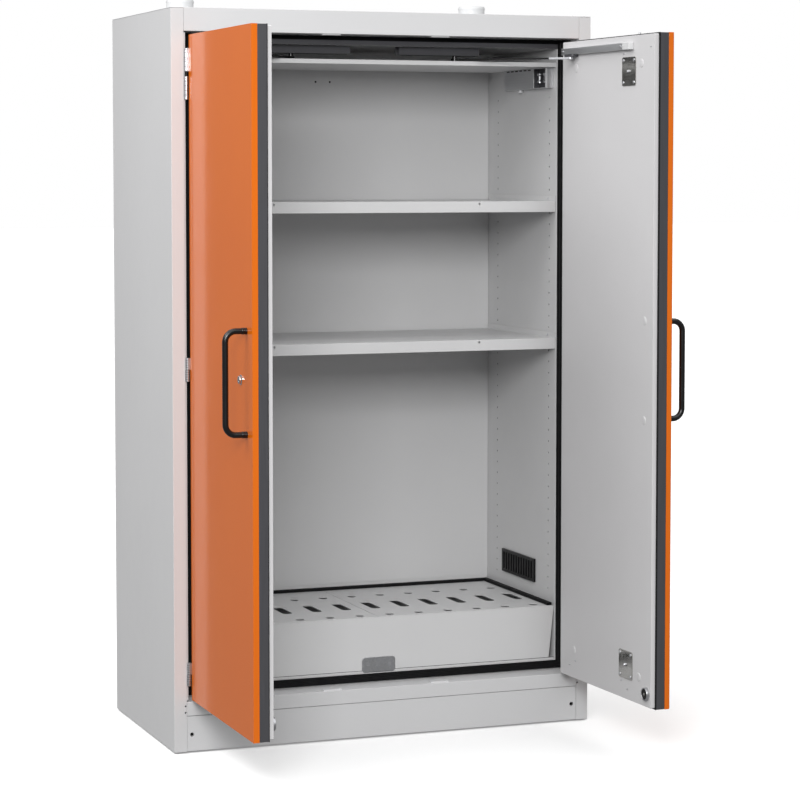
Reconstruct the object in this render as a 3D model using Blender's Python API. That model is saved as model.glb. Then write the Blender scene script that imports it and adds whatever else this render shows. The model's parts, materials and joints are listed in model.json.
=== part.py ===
"""Fire-rated safety cabinet with two wing doors, shown with both doors open.

Metres, +Z up, +X to the right of someone who faces the open front, +Y to the back.
The origin is on the floor, under the middle of the box that holds the cabinet with its
doors open.
"""

import math

import bmesh
import bpy
from mathutils import Matrix, Vector

# Overall sizes of the cabinet body
CABINET_WIDTH = 1.193
CABINET_DEPTH = 0.600
CABINET_HEIGHT = 1.953

# Clearance between pieces that touch, and between pieces that run past each other
FIT_GAP = 0.0003
RUN_GAP = 0.0012

# Outer steel casing
CASING_SHEET = 0.002
CASING_LIFT = 0.004
STILE_WIDTH = 0.0345
FASCIA_HEIGHT = 0.061
REBATE_DEPTH = 0.064
SILL_BOTTOM = 0.0995
SILL_HEIGHT = 0.0375
SILL_LIP = 0.030
PLINTH_LIFT = 0.005
PLINTH_GAP = 0.0012
PLINTH_SETBACK = 0.0012
PLINTH_LIP = 0.022
RAMP_LENGTH = 0.052
RAMP_WIDTH = 0.016
RAMP_HEIGHT = 0.0035
RAMP_OFFSET = 0.155
RAMP_SETBACK = 0.004

# Fire boards behind the casing
SIDE_WALL = 0.0715
REAR_WALL = 0.051
BASE_THICKNESS = 0.065
BASE_BOTTOM = 0.100
TOP_THICKNESS = 0.0845

# Ceiling panel under the recess that takes the door closers
RECESS_HEIGHT = 0.0377
CEILING_LIP = 0.012
CEILING_SETBACK = 0.004
CEILING_REAR_SLOT = 0.034
PANEL_SHEET = 0.002

# Seal on the rebate, which the closed doors press on
SEAL_THICKNESS = 0.008
SEAL_SIDE_OVERLAP = 0.0015
SEAL_TOP_WIDTH = 0.010
SEAL_TOP_RISE = 0.0133
SEAL_BOTTOM_WIDTH = 0.022

# Levelling feet
FOOT_RADIUS = 0.024
FOOT_PAD = 0.012
FOOT_RIM = 0.006
FOOT_NECK_RADIUS = 0.0112
FOOT_STEM_RADIUS = 0.008
FOOT_INSET_X = 0.075
FOOT_INSET_Y = 0.100

# Duct spigots on the roof
SPIGOT_RADIUS = 0.0375
SPIGOT_WALL = 0.002
SPIGOT_HEIGHT = 0.050
SPIGOT_DEPTH = 0.070
SPIGOT_FLANGE_RADIUS = 0.050
SPIGOT_FLANGE = 0.002
SPIGOT_FROM_SIDE = 0.1595
SPIGOT_FROM_REAR = 0.130

# Doors, measured from the hinge axis: along the leaf, and through its thickness.
# Each stands open a little past a right angle, by this many degrees.
DOOR_PAST_SQUARE = {"left": 0.4, "right": 2.0}
HINGE_INSET = 0.040
HINGE_FORWARD = 0.003
HINGE_RADIUS = 0.005
DOOR_CENTRE_GAP = 0.003
DOOR_BOTTOM_GAP = 0.007
DOOR_TOP_GAP = 0.010
SKIN_SHEET = 0.002
SKIN_RETURN = 0.015
CORE_THICKNESS = 0.025
LINER_THICKNESS = 0.0125
CORE_EDGE_INSET = 0.0006
LINER_EDGE_INSET = 0.006
LINER_ROUNDING = 0.0025

# Hinge leaves and knuckles: full height, and the gap between the knuckles of the top hinge
HINGE_LEAF = 0.0022
HINGE_LEAF_WIDTH = 0.030
HINGE_PIN_RADIUS = 0.0028
HINGE_TOP_HEIGHT = 0.132
HINGE_LOW_HEIGHT = 0.061
HINGE_FROM_TOP = 0.101
HINGE_FROM_BOTTOM = 0.0665
HINGE_PIN_SHARE = 0.9
HINGE_CLEARANCE = 0.0005
HINGE_TOP_GAP = 0.014

# Bow handle on each door
HANDLE_RADIUS = 0.0075
HANDLE_SPAN = 0.252
HANDLE_STANDOFF = 0.054
HANDLE_BEND = 0.026
HANDLE_HEIGHT = 1.018
HANDLE_FROM_EDGE = 0.046

# Cylinder lock on the left door
LOCK_RADIUS = 0.010
LOCK_PROUD = 0.006
LOCK_DEPTH = 0.020
LOCK_FROM_EDGE = 0.096
LOCK_HEIGHT = 1.022
LOCK_KEYWAY = 0.0022

# Holding magnets on the doors and the keeper plate that they meet
MAGNET_RADIUS = 0.017
MAGNET_THICKNESS = 0.005
MAGNET_FROM_EDGE = 0.022
MAGNET_HEIGHT = 0.182
KEEPER_WIDTH = 0.096
KEEPER_HEIGHT = 0.042
KEEPER_SHEET = 0.003

# Door closers, their arms and the guides in the recess
CLOSER_LENGTH = 0.450
CLOSER_DEPTH = 0.028
CLOSER_HEIGHT = 0.024
CLOSER_START = 0.046
CLOSER_TOP_GAP = 0.004
CLOSER_CHAMFER = 0.0023
ARM_PIVOT_ALONG = 0.100
ARM_PIVOT_PROUD = 0.0135
ARM_LENGTH = 0.330
ARM_WIDTH = 0.018
ARM_THICKNESS = 0.005
ARM_HEADROOM = 0.0025
ARM_EYE_RADIUS = 0.010
ARM_EYE_THICKNESS = 0.006
SLIDER_RADIUS = 0.006
GUIDE_FROM_FRONT = 0.110
GUIDE_INNER_WIDTH = 0.026
GUIDE_WALL = 0.003
GUIDE_HEIGHT = 0.022
GUIDE_START = 0.070
GUIDE_LENGTH = 0.235

# Shelves that lift off their supports
SHELF_HEIGHTS = {"lower": 0.902, "upper": 1.282}
SHELF_SHEET = 0.0015
SHELF_LIP = 0.030
SHELF_LIP_RETURN = 0.014
SHELF_UPSTAND = 0.015
SHELF_SETBACK = 0.004
SHELF_REAR_GAP = 0.006
SUPPORT_LEG = 0.020
SUPPORT_DROP = 0.024
SUPPORT_SHEET = 0.002
SUPPORT_LENGTH = 0.420

# Spill sump with its perforated insert
SUMP_HEIGHT = 0.150
SUMP_SHEET = 0.002
SUMP_TAPER = 0.016
SUMP_SETBACK = 0.0045
SUMP_REAR_GAP = 0.008
INSERT_SHEET = 0.002
INSERT_UPSTAND = 0.018
SLOT_COLUMNS = 12
SLOT_STEPS = 4
DRAIN_SLOT = (0.022, 0.092)
GRIP_SLOT = (0.019, 0.025)
SLOT_ROWS = ((0.031, GRIP_SLOT), (0.182, DRAIN_SLOT), (0.337, GRIP_SLOT))

# Air inlet grille low on each side wall
GRILLE_LENGTH = 0.231
GRILLE_HEIGHT = 0.066
GRILLE_THICKNESS = 0.006
GRILLE_FROM_FRONT = 0.197
GRILLE_BOTTOM = 0.363
GRILLE_SLOTS = 12
GRILLE_BORDER = 0.008
GRILLE_SLOT_SHARE = 0.5

# Door release unit under the ceiling, on the right wall
RELEASE_LENGTH = 0.250
RELEASE_HEIGHT = 0.058
RELEASE_DEPTH = 0.058
RELEASE_FROM_FRONT = 0.092
RELEASE_SHEET = 0.002
RELEASE_MOUTH = 0.085
RELEASE_ROLLER_RADIUS = 0.014
RELEASE_SPINDLE_RADIUS = 0.008
RELEASE_ROLLER_LENGTH = 0.022
RELEASE_ROLLER_PLACES = (0.3, 0.7)
RELEASE_KNOB_RADIUS = 0.007
RELEASE_KNOB_DROP = 0.012
RELEASE_KNOB_PLACE = 0.68

# Places that follow from the sizes above
HALF_WIDTH = CABINET_WIDTH / 2
HINGE_X = HALF_WIDTH - HINGE_INSET
EDGE_OFFSET = HINGE_RADIUS + HINGE_CLEARANCE
DOOR_FREE = HINGE_X - DOOR_CENTRE_GAP
FRONT = (DOOR_FREE + HINGE_FORWARD - CABINET_DEPTH) / 2
HINGE_Y = FRONT - HINGE_FORWARD
REBATE_Y = FRONT + REBATE_DEPTH
REAR = FRONT + CABINET_DEPTH
BOARD_REAR = REAR - CASING_SHEET - FIT_GAP
INNER_X = HALF_WIDTH - SIDE_WALL
INNER_REAR = REAR - REAR_WALL
STILE_X = HALF_WIDTH - STILE_WIDTH
SILL_TOP = SILL_BOTTOM + SILL_HEIGHT
BASE_TOP = BASE_BOTTOM + BASE_THICKNESS
LID_UNDERSIDE = CABINET_HEIGHT - CASING_SHEET
TOP_BOARD_BOTTOM = LID_UNDERSIDE - FIT_GAP - TOP_THICKNESS
CEILING_TOP = TOP_BOARD_BOTTOM - RECESS_HEIGHT
FASCIA_BOTTOM = CABINET_HEIGHT - FASCIA_HEIGHT
DOOR_BOTTOM = SILL_TOP + DOOR_BOTTOM_GAP
DOOR_TOP = FASCIA_BOTTOM - DOOR_TOP_GAP
HINGES = {
    "top": (DOOR_TOP - HINGE_FROM_TOP, HINGE_TOP_HEIGHT, HINGE_TOP_GAP),
    "middle": ((DOOR_TOP + DOOR_BOTTOM) / 2, HINGE_LOW_HEIGHT, RUN_GAP),
    "bottom": (DOOR_BOTTOM + HINGE_FROM_BOTTOM, HINGE_LOW_HEIGHT, RUN_GAP),
}
SKIN_FACE = EDGE_OFFSET
SKIN_EDGE = SKIN_FACE + SKIN_RETURN
CORE_FACE = SKIN_EDGE + FIT_GAP
CORE_BACK = CORE_FACE + CORE_THICKNESS
LINER_FACE = CORE_BACK + FIT_GAP
LINER_BACK = LINER_FACE + LINER_THICKNESS
CLOSER_TOP = TOP_BOARD_BOTTOM - CLOSER_TOP_GAP
CLOSER_BOTTOM = CLOSER_TOP - CLOSER_HEIGHT
ARM_TOP = CLOSER_BOTTOM - ARM_HEADROOM
ARM_BOTTOM = ARM_TOP - ARM_THICKNESS
ARM_PIVOT_THROUGH = LINER_BACK + ARM_PIVOT_PROUD
GUIDE_Y = FRONT + GUIDE_FROM_FRONT
ARM_OPEN_ANGLE = math.asin((GUIDE_Y - HINGE_Y + ARM_PIVOT_ALONG) / ARM_LENGTH)
ARM_CLOSED_ANGLE = math.asin((GUIDE_Y - HINGE_Y - ARM_PIVOT_THROUGH) / ARM_LENGTH)
ARM_FOLLOW = 1.0 + (ARM_OPEN_ANGLE - ARM_CLOSED_ANGLE) / (math.pi / 2)
SUMP_TOP = BASE_TOP + FIT_GAP + SUMP_HEIGHT
INSERT_BOTTOM = SUMP_TOP + FIT_GAP
SUMP_FRONT = REBATE_Y + SUMP_SETBACK
SUMP_REAR = INNER_REAR - SUMP_REAR_GAP
SHELF_TOPS = {level: BASE_TOP + height for level, height in SHELF_HEIGHTS.items()}
SHELF_FRONT = REBATE_Y + SHELF_SETBACK
SHELF_REAR = INNER_REAR - SHELF_REAR_GAP
SPIGOT_X = HALF_WIDTH - SPIGOT_FROM_SIDE
SPIGOT_Y = REAR - SPIGOT_FROM_REAR
LEFT = -1
RIGHT = 1
SIDES = {"left": LEFT, "right": RIGHT}


def clear_scene():
    for item in list(bpy.data.objects):
        bpy.data.objects.remove(item, do_unlink=True)


def linear(channel):
    if channel <= 0.04045:
        return channel / 12.92
    return ((channel + 0.055) / 1.055) ** 2.4


def finish_material(name, colour, roughness, metallic=0.0):
    """A Principled material from an sRGB hex colour."""
    material = bpy.data.materials.new(name)
    material.use_nodes = True
    shader = material.node_tree.nodes["Principled BSDF"]
    channels = [linear(int(colour[i:i + 2], 16) / 255) for i in (0, 2, 4)]
    shader.inputs["Base Color"].default_value = (*channels, 1.0)
    shader.inputs["Roughness"].default_value = roughness
    shader.inputs["Metallic"].default_value = metallic
    return material


def empty(name, place=(0.0, 0.0, 0.0), parent=None):
    """An empty on a joint's axis; its world place is given."""
    node = bpy.data.objects.new(name, None)
    bpy.context.collection.objects.link(node)
    if parent is not None:
        node.parent = parent
        node.location = Vector(place) - PLACES[parent.name]
    else:
        node.location = place
    PLACES[name] = Vector(place)
    return node


def add_object(name, bm, material, carrier, smooth_angle=None):
    """Turn a bmesh in world places into a named object on its carrier."""
    bmesh.ops.recalc_face_normals(bm, faces=bm.faces)
    bmesh.ops.translate(bm, verts=bm.verts, vec=-PLACES[carrier.name])
    mesh = bpy.data.meshes.new(name)
    bm.to_mesh(mesh)
    bm.free()
    if smooth_angle is not None:
        mesh.shade_smooth()
        mesh.set_sharp_from_angle(angle=math.radians(smooth_angle))
    node = bpy.data.objects.new(name, mesh)
    bpy.context.collection.objects.link(node)
    node.parent = carrier
    if material is not None:
        mesh.materials.append(material)
    return node


def helper(name, bm, carrier):
    """A solid that only cuts or joins another one."""
    node = add_object(name, bm, None, carrier)
    node.hide_render = True
    node.display_type = "WIRE"
    return node


def combine(node, bm, operation):
    """Cut a solid out of a node, or join it on."""
    tool = helper(f"{node.name}_{operation.lower()}_{len(node.modifiers)}", bm, node.parent)
    modifier = node.modifiers.new(tool.name, "BOOLEAN")
    modifier.operation = operation
    modifier.solver = "EXACT"
    modifier.object = tool


def box(low, high, bm=None):
    """A box between two corners, in its own bmesh or added to one."""
    bm = bm or bmesh.new()
    low = Vector(low)
    high = Vector(high)
    size = high - low
    place = Matrix.Translation((low + high) / 2) @ Matrix.Diagonal((*size, 1.0))
    bmesh.ops.create_cube(bm, size=1.0, matrix=place)
    return bm


def mirrored_box(side, low, high, bm=None):
    """A box given for the right side; the left one is its mirror image."""
    xs = sorted((side * low[0], side * high[0]))
    return box((xs[0], *low[1:]), (xs[1], *high[1:]), bm)


def cylinder(centre, axis, radius, length, segments, bm=None):
    """A cylinder centred on a point, along an axis."""
    bm = bm or bmesh.new()
    turn = Vector((0.0, 0.0, 1.0)).rotation_difference(Vector(axis)).to_matrix().to_4x4()
    bmesh.ops.create_cone(
        bm, cap_ends=True, segments=segments, radius1=radius, radius2=radius,
        depth=length, matrix=Matrix.Translation(centre) @ turn)
    return bm


def turned(profile, centre, segments):
    """A solid turned about a vertical axis from a closed outline of (radius, height)."""
    bm = bmesh.new()
    ring = [bm.verts.new((radius, 0.0, height)) for radius, height in profile]
    edges = [bm.edges.new((ring[i], ring[(i + 1) % len(ring)])) for i in range(len(ring))]
    bmesh.ops.spin(
        bm, geom=ring + edges, cent=(0.0, 0.0, 0.0), axis=(0.0, 0.0, 1.0),
        angle=2 * math.pi, steps=segments, use_merge=True)
    bmesh.ops.remove_doubles(bm, verts=bm.verts, dist=1e-6)
    bmesh.ops.dissolve_degenerate(bm, dist=1e-6, edges=bm.edges)
    bmesh.ops.translate(bm, verts=bm.verts, vec=centre)
    return bm


def bent_outline(path, sheet):
    """The closed outline of a folded sheet that lies to the right of an open path."""
    points = [Vector(point) for point in path]
    normals = []
    for start, end in zip(points, points[1:]):
        along = (end - start).normalized()
        normals.append(Vector((along.y, -along.x)))
    inner = []
    for index, point in enumerate(points):
        before = normals[max(index - 1, 0)]
        after = normals[min(index, len(normals) - 1)]
        mitre = (before + after) / (1.0 + before.dot(after))
        inner.append(point + mitre * sheet)
    return points + inner[::-1]


def prism(outline, plane, start, end, bm=None):
    """Extrude a 2D outline; plane names its two axes, such as XY, and the third is the length."""
    bm = bm or bmesh.new()
    first, second = ("XYZ".index(letter) for letter in plane)
    third = 3 - first - second
    verts = []
    for point in outline:
        place = [0.0, 0.0, 0.0]
        place[first] = point[0]
        place[second] = point[1]
        place[third] = start
        verts.append(bm.verts.new(place))
    face = bm.faces.new(verts)
    grown = bmesh.ops.extrude_face_region(bm, geom=[face])["geom"]
    move = [0.0, 0.0, 0.0]
    move[third] = end - start
    moved = [item for item in grown if isinstance(item, bmesh.types.BMVert)]
    bmesh.ops.translate(bm, verts=moved, vec=move)
    return bm


def facing(bm, direction):
    """The one face that points most along a direction."""
    bm.normal_update()
    return max(bm.faces, key=lambda face: face.normal.dot(Vector(direction)))


def hollow(bm, direction, wall, depth):
    """Sink the face that points along a direction, leaving a rim of the wall's width."""
    face = facing(bm, direction)
    bmesh.ops.inset_region(bm, faces=[face], thickness=wall, use_even_offset=True)
    floor = bmesh.ops.extrude_discrete_faces(bm, faces=[face])["faces"][0]
    bmesh.ops.translate(bm, verts=floor.verts, vec=-Vector(direction) * depth)


def soften(bm, width, segments=2):
    """Round every edge of a plain solid."""
    bmesh.ops.bevel(
        bm, geom=bm.edges[:], offset=width, offset_type="OFFSET", affect="EDGES",
        segments=segments, profile=0.5, material=-1, clamp_overlap=True)


def build_casings(paint):
    """The folded steel casing: sides with their stiles, rear, roof with fascia, sill and plinth."""
    for side_name, side in SIDES.items():
        path = [
            (HALF_WIDTH, REAR - CASING_SHEET - FIT_GAP),
            (HALF_WIDTH, FRONT),
            (STILE_X, FRONT),
            (STILE_X, REBATE_Y - FIT_GAP),
        ]
        outline = [(side * x, y) for x, y in bent_outline(path, CASING_SHEET)]
        shell = prism(outline, "XY", CASING_LIFT, LID_UNDERSIDE - FIT_GAP)
        add_object(f"{side_name}_side_casing", shell, paint, CABINET)

    low = (-HALF_WIDTH, REAR - CASING_SHEET, CASING_LIFT)
    high = (HALF_WIDTH, REAR, LID_UNDERSIDE - FIT_GAP)
    rear = box(low, high)
    add_object("rear_casing", rear, paint, CABINET)

    between_stiles = STILE_X - FIT_GAP
    path = [
        (REBATE_Y - FIT_GAP, FASCIA_BOTTOM),
        (FRONT, FASCIA_BOTTOM),
        (FRONT, CABINET_HEIGHT),
        (REAR, CABINET_HEIGHT),
    ]
    roof = prism(bent_outline(path, CASING_SHEET), "YZ", -between_stiles, between_stiles)
    roof_node = add_object("top_casing", roof, paint, CABINET)
    lid = box((-HALF_WIDTH, FRONT, LID_UNDERSIDE), (HALF_WIDTH, REAR, CABINET_HEIGHT))
    combine(roof_node, lid, "UNION")
    cut_spigot_holes(roof_node)
    sunk = CASING_SHEET / 2
    add_ramps(roof_node, FASCIA_BOTTOM - RAMP_HEIGHT, FASCIA_BOTTOM + sunk)

    path = [
        (FRONT + SILL_LIP, SILL_BOTTOM),
        (FRONT, SILL_BOTTOM),
        (FRONT, SILL_TOP),
        (REBATE_Y - FIT_GAP, SILL_TOP),
    ]
    sill = prism(bent_outline(path, CASING_SHEET), "YZ", -between_stiles, between_stiles)
    sill_node = add_object("sill", sill, paint, CABINET)
    add_ramps(sill_node, SILL_TOP - sunk, SILL_TOP + RAMP_HEIGHT)

    plinth_front = FRONT + PLINTH_SETBACK
    plinth_top = SILL_BOTTOM - PLINTH_GAP
    path = [
        (plinth_front + PLINTH_LIP, PLINTH_LIFT),
        (plinth_front, PLINTH_LIFT),
        (plinth_front, plinth_top),
        (plinth_front + PLINTH_LIP, plinth_top),
    ]
    plinth = prism(bent_outline(path, CASING_SHEET), "YZ", -between_stiles, between_stiles)
    add_object("plinth_cover", plinth, paint, CABINET)


def add_ramps(node, bottom, top):
    """Run-on ramps that guide the free corners of the closing doors."""
    ramp_front = FRONT + RAMP_SETBACK
    for side in SIDES.values():
        low = (RAMP_OFFSET - RAMP_LENGTH / 2, ramp_front, bottom)
        high = (RAMP_OFFSET + RAMP_LENGTH / 2, ramp_front + RAMP_WIDTH, top)
        combine(node, mirrored_box(side, low, high), "UNION")


def cut_spigot_holes(node):
    """Clear the two duct spigots through a roof layer."""
    reach = TOP_THICKNESS + SPIGOT_HEIGHT
    for side in SIDES.values():
        centre = (side * SPIGOT_X, SPIGOT_Y, LID_UNDERSIDE)
        combine(node, cylinder(centre, (0, 0, 1), SPIGOT_RADIUS + FIT_GAP, 2 * reach, 24), "DIFFERENCE")


def build_boards(board):
    """The fire boards: both sides, rear, base and top, laid edge to face."""
    for side_name, side in SIDES.items():
        low = (INNER_X, REBATE_Y, BASE_BOTTOM)
        high = (HALF_WIDTH - CASING_SHEET - FIT_GAP, BOARD_REAR, LID_UNDERSIDE - FIT_GAP)
        add_object(f"{side_name}_wall_board", mirrored_box(side, low, high), board, CABINET)

    span = INNER_X - FIT_GAP
    base = box((-span, REBATE_Y, BASE_BOTTOM), (span, BOARD_REAR, BASE_TOP))
    add_object("base_board", base, board, CABINET)
    top = box((-span, REBATE_Y, TOP_BOARD_BOTTOM), (span, BOARD_REAR, LID_UNDERSIDE - FIT_GAP))
    top_node = add_object("top_board", top, board, CABINET)
    cut_spigot_holes(top_node)
    low = (-span, INNER_REAR, BASE_TOP + FIT_GAP)
    high = (span, BOARD_REAR, TOP_BOARD_BOTTOM - FIT_GAP)
    add_object("rear_wall_board", box(low, high), board, CABINET)


def build_ceiling(paint):
    """The sheet ceiling, folded up at its front edge, with an air slot left behind it."""
    front = REBATE_Y + CEILING_SETBACK
    path = [
        (front, CEILING_TOP),
        (front, CEILING_TOP - CEILING_LIP),
        (INNER_REAR - CEILING_REAR_SLOT, CEILING_TOP - CEILING_LIP),
        (INNER_REAR - CEILING_REAR_SLOT, CEILING_TOP),
    ]
    outline = bent_outline(path[::-1], PANEL_SHEET)
    span = INNER_X - FIT_GAP
    add_object("ceiling_panel", prism(outline, "YZ", -span, span), paint, CABINET)


def build_frame_seal(rubber):
    """The flat seal that runs round the rebate."""
    outer_x = STILE_X - FIT_GAP
    inner_x = INNER_X + SEAL_SIDE_OVERLAP
    seal_front = REBATE_Y - FIT_GAP - SEAL_THICKNESS
    opening_top = TOP_BOARD_BOTTOM + SEAL_TOP_RISE
    top = opening_top + SEAL_TOP_WIDTH
    bottom = BASE_TOP - SEAL_BOTTOM_WIDTH
    ring = box((-outer_x, seal_front, bottom), (outer_x, REBATE_Y - FIT_GAP, top))
    node = add_object("frame_seal", ring, rubber, CABINET)
    low = (-inner_x, seal_front - SEAL_THICKNESS, BASE_TOP)
    high = (inner_x, REBATE_Y + SEAL_THICKNESS, opening_top)
    mouth = box(low, high)
    combine(node, mouth, "DIFFERENCE")


def build_feet(black):
    """Levelling feet that carry the base board."""
    stem_top = BASE_BOTTOM - FIT_GAP
    profile = [
        (0.0, 0.0),
        (FOOT_RADIUS, 0.0),
        (FOOT_RADIUS, FOOT_RIM),
        (FOOT_NECK_RADIUS, FOOT_PAD),
        (FOOT_STEM_RADIUS, FOOT_PAD),
        (FOOT_STEM_RADIUS, stem_top),
        (0.0, stem_top),
    ]
    rows = {"front": REBATE_Y + FOOT_INSET_Y, "rear": BOARD_REAR - FOOT_INSET_Y}
    for row_name, y in rows.items():
        for side_name, side in SIDES.items():
            centre = (side * (INNER_X - FOOT_INSET_X), y, 0.0)
            add_object(f"{row_name}_{side_name}_foot", turned(profile, centre, 20), black, CABINET, 40)


def build_spigots(plastic):
    """Exhaust and supply air spigots through the roof, each with a flange on the lid."""
    inner = SPIGOT_RADIUS - SPIGOT_WALL
    flange_bottom = CABINET_HEIGHT + FIT_GAP
    profile = [
        (inner, LID_UNDERSIDE - SPIGOT_DEPTH),
        (SPIGOT_RADIUS, LID_UNDERSIDE - SPIGOT_DEPTH),
        (SPIGOT_RADIUS, flange_bottom),
        (SPIGOT_FLANGE_RADIUS, flange_bottom),
        (SPIGOT_FLANGE_RADIUS, flange_bottom + SPIGOT_FLANGE),
        (SPIGOT_RADIUS, flange_bottom + SPIGOT_FLANGE),
        (SPIGOT_RADIUS, CABINET_HEIGHT + SPIGOT_HEIGHT),
        (inner, CABINET_HEIGHT + SPIGOT_HEIGHT),
    ]
    for duct, side in (("exhaust", LEFT), ("supply", RIGHT)):
        centre = (side * SPIGOT_X, SPIGOT_Y, 0.0)
        add_object(f"{duct}_spigot", turned(profile, centre, 24), plastic, CABINET, 40)


def build_grilles(black):
    """Slotted air inlet plates low on both walls."""
    for side_name, side in SIDES.items():
        inner = INNER_X - FIT_GAP
        y = FRONT + GRILLE_FROM_FRONT
        low = (inner - GRILLE_THICKNESS, y, GRILLE_BOTTOM)
        high = (inner, y + GRILLE_LENGTH, GRILLE_BOTTOM + GRILLE_HEIGHT)
        node = add_object(f"{side_name}_vent_grille", mirrored_box(side, low, high), black, CABINET)
        pitch = (GRILLE_LENGTH - 2 * GRILLE_BORDER) / GRILLE_SLOTS
        slots = bmesh.new()
        for slot in range(GRILLE_SLOTS):
            start = y + GRILLE_BORDER + (slot + (1 - GRILLE_SLOT_SHARE) / 2) * pitch
            low = (inner - 2 * GRILLE_THICKNESS, start, GRILLE_BOTTOM + GRILLE_BORDER)
            end = start + pitch * GRILLE_SLOT_SHARE
            high = (inner + GRILLE_THICKNESS, end, GRILLE_BOTTOM + GRILLE_HEIGHT - GRILLE_BORDER)
            mirrored_box(side, low, high, slots)
        combine(node, slots, "DIFFERENCE")


def build_release_unit(steel):
    """Housing of the door release on the right wall, open in front, with its rollers and knob."""
    wall = INNER_X - FIT_GAP
    top = CEILING_TOP - CEILING_LIP - FIT_GAP
    bottom = top - RELEASE_HEIGHT
    y = FRONT + RELEASE_FROM_FRONT
    housing = box((wall - RELEASE_DEPTH, y, bottom), (wall, y + RELEASE_LENGTH, top))
    node = add_object("release_unit", housing, steel, CABINET, 30)
    mouth_low = (wall - RELEASE_DEPTH - RELEASE_SHEET, y + RELEASE_SHEET, bottom + RELEASE_SHEET)
    mouth_high = (wall - RELEASE_SHEET, y + RELEASE_MOUTH, top - RELEASE_SHEET)
    combine(node, box(mouth_low, mouth_high), "DIFFERENCE")
    roller_x = wall - RELEASE_DEPTH / 2
    spindle = RELEASE_HEIGHT - RELEASE_SHEET
    for place in RELEASE_ROLLER_PLACES:
        centre = (roller_x, y + RELEASE_MOUTH * place, (top + bottom) / 2)
        combine(node, cylinder(centre, (0, 0, 1), RELEASE_SPINDLE_RADIUS, spindle, 14), "UNION")
        roller = cylinder(centre, (0, 0, 1), RELEASE_ROLLER_RADIUS, RELEASE_ROLLER_LENGTH, 18)
        combine(node, roller, "UNION")
    knob = (roller_x, y + RELEASE_LENGTH * RELEASE_KNOB_PLACE, bottom)
    combine(node, cylinder(knob, (0, 0, 1), RELEASE_KNOB_RADIUS, 2 * RELEASE_KNOB_DROP, 14), "UNION")


def build_sump(paint):
    """The tapered spill tray and the slotted insert on its rim, which lifts past the wall grilles."""
    half_top = INNER_X - RUN_GAP
    half_bottom = half_top - SUMP_TAPER
    floor = BASE_TOP + FIT_GAP
    tray = box((-half_top, SUMP_FRONT, floor), (half_top, SUMP_REAR, SUMP_TOP))
    for vert in tray.verts:
        if vert.co.z < (floor + SUMP_TOP) / 2:
            vert.co.x *= half_bottom / half_top
    hollow(tray, (0, 0, 1), SUMP_SHEET, SUMP_HEIGHT - SUMP_SHEET)
    pan_floor = floor + SUMP_SHEET
    for vert in tray.verts:
        if abs(vert.co.z - pan_floor) < SUMP_SHEET / 4:
            vert.co.x *= half_bottom / half_top
    add_object("sump_tray", tray, paint, CABINET)

    path = [
        (SUMP_FRONT, INSERT_BOTTOM),
        (SUMP_REAR, INSERT_BOTTOM),
        (SUMP_REAR, INSERT_BOTTOM + INSERT_UPSTAND),
    ]
    outline = bent_outline(path[::-1], INSERT_SHEET)
    half_insert = INNER_X - FIT_GAP - GRILLE_THICKNESS - RUN_GAP
    insert = add_object("sump_insert", prism(outline, "YZ", -half_insert, half_insert), paint, INSERT)
    combine(insert, slot_pattern(half_insert), "DIFFERENCE")


def slot_pattern(half_width):
    """Slots of the insert, in columns across; each row has its place from the front and its slot's size."""
    slots = bmesh.new()
    column_pitch = 2 * half_width / SLOT_COLUMNS
    for column in range(SLOT_COLUMNS):
        x = -half_width + (column + 0.5) * column_pitch
        for from_front, (width, length) in SLOT_ROWS:
            outline = round_slot(x, SUMP_FRONT + from_front, width, length)
            prism(outline, "XY", INSERT_BOTTOM - INSERT_SHEET, INSERT_BOTTOM + 2 * INSERT_SHEET, slots)
    return slots


def round_slot(x, y, width, length):
    """Outline of a slot with round ends that runs from front to back."""
    radius = width / 2
    points = []
    for end in (1, -1):
        for step in range(SLOT_STEPS + 1):
            turn = math.pi * step / SLOT_STEPS
            across = end * radius * math.cos(turn)
            along = end * ((length - width) / 2 + radius * math.sin(turn))
            points.append((x + across, y + along))
    return points


def build_keeper(steel):
    """The steel keeper in front of the sump, for the magnets of the closed doors."""
    y = SUMP_FRONT - FIT_GAP
    low = (-KEEPER_WIDTH / 2, y - KEEPER_SHEET, BASE_TOP + FIT_GAP)
    high = (KEEPER_WIDTH / 2, y, BASE_TOP + FIT_GAP + KEEPER_HEIGHT)
    add_object("keeper_plate", box(low, high), steel, CABINET)


def build_shelves(paint):
    """Two shelves with a folded front lip and upstands at their ends, on wall supports."""
    half = INNER_X - RUN_GAP
    for level, top in SHELF_TOPS.items():
        path = [
            (SHELF_FRONT + SHELF_LIP_RETURN, top - SHELF_LIP),
            (SHELF_FRONT, top - SHELF_LIP),
            (SHELF_FRONT, top),
            (SHELF_REAR, top),
            (SHELF_REAR, top - SHELF_LIP),
        ]
        carrier = SHELF_CARRIERS[level]
        shelf = prism(bent_outline(path, SHELF_SHEET), "YZ", -half, half)
        node = add_object(f"{level}_shelf", shelf, paint, carrier)
        for side in SIDES.values():
            low = (half - SHELF_SHEET, SHELF_FRONT, top - SHELF_SHEET)
            high = (half, SHELF_REAR, top + SHELF_UPSTAND)
            combine(node, mirrored_box(side, low, high), "UNION")
        for side_name, side in SIDES.items():
            wall = INNER_X - FIT_GAP
            under = top - SHELF_SHEET - FIT_GAP
            path = [(wall, under - SUPPORT_DROP), (wall, under), (wall - SUPPORT_LEG, under)]
            outline = [(side * x, z) for x, z in bent_outline(path[::-1], SUPPORT_SHEET)]
            middle = (SHELF_FRONT + SHELF_REAR) / 2
            support = prism(outline, "XZ", middle - SUPPORT_LENGTH / 2, middle + SUPPORT_LENGTH / 2)
            add_object(f"{level}_{side_name}_shelf_support", support, paint, CABINET)


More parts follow.
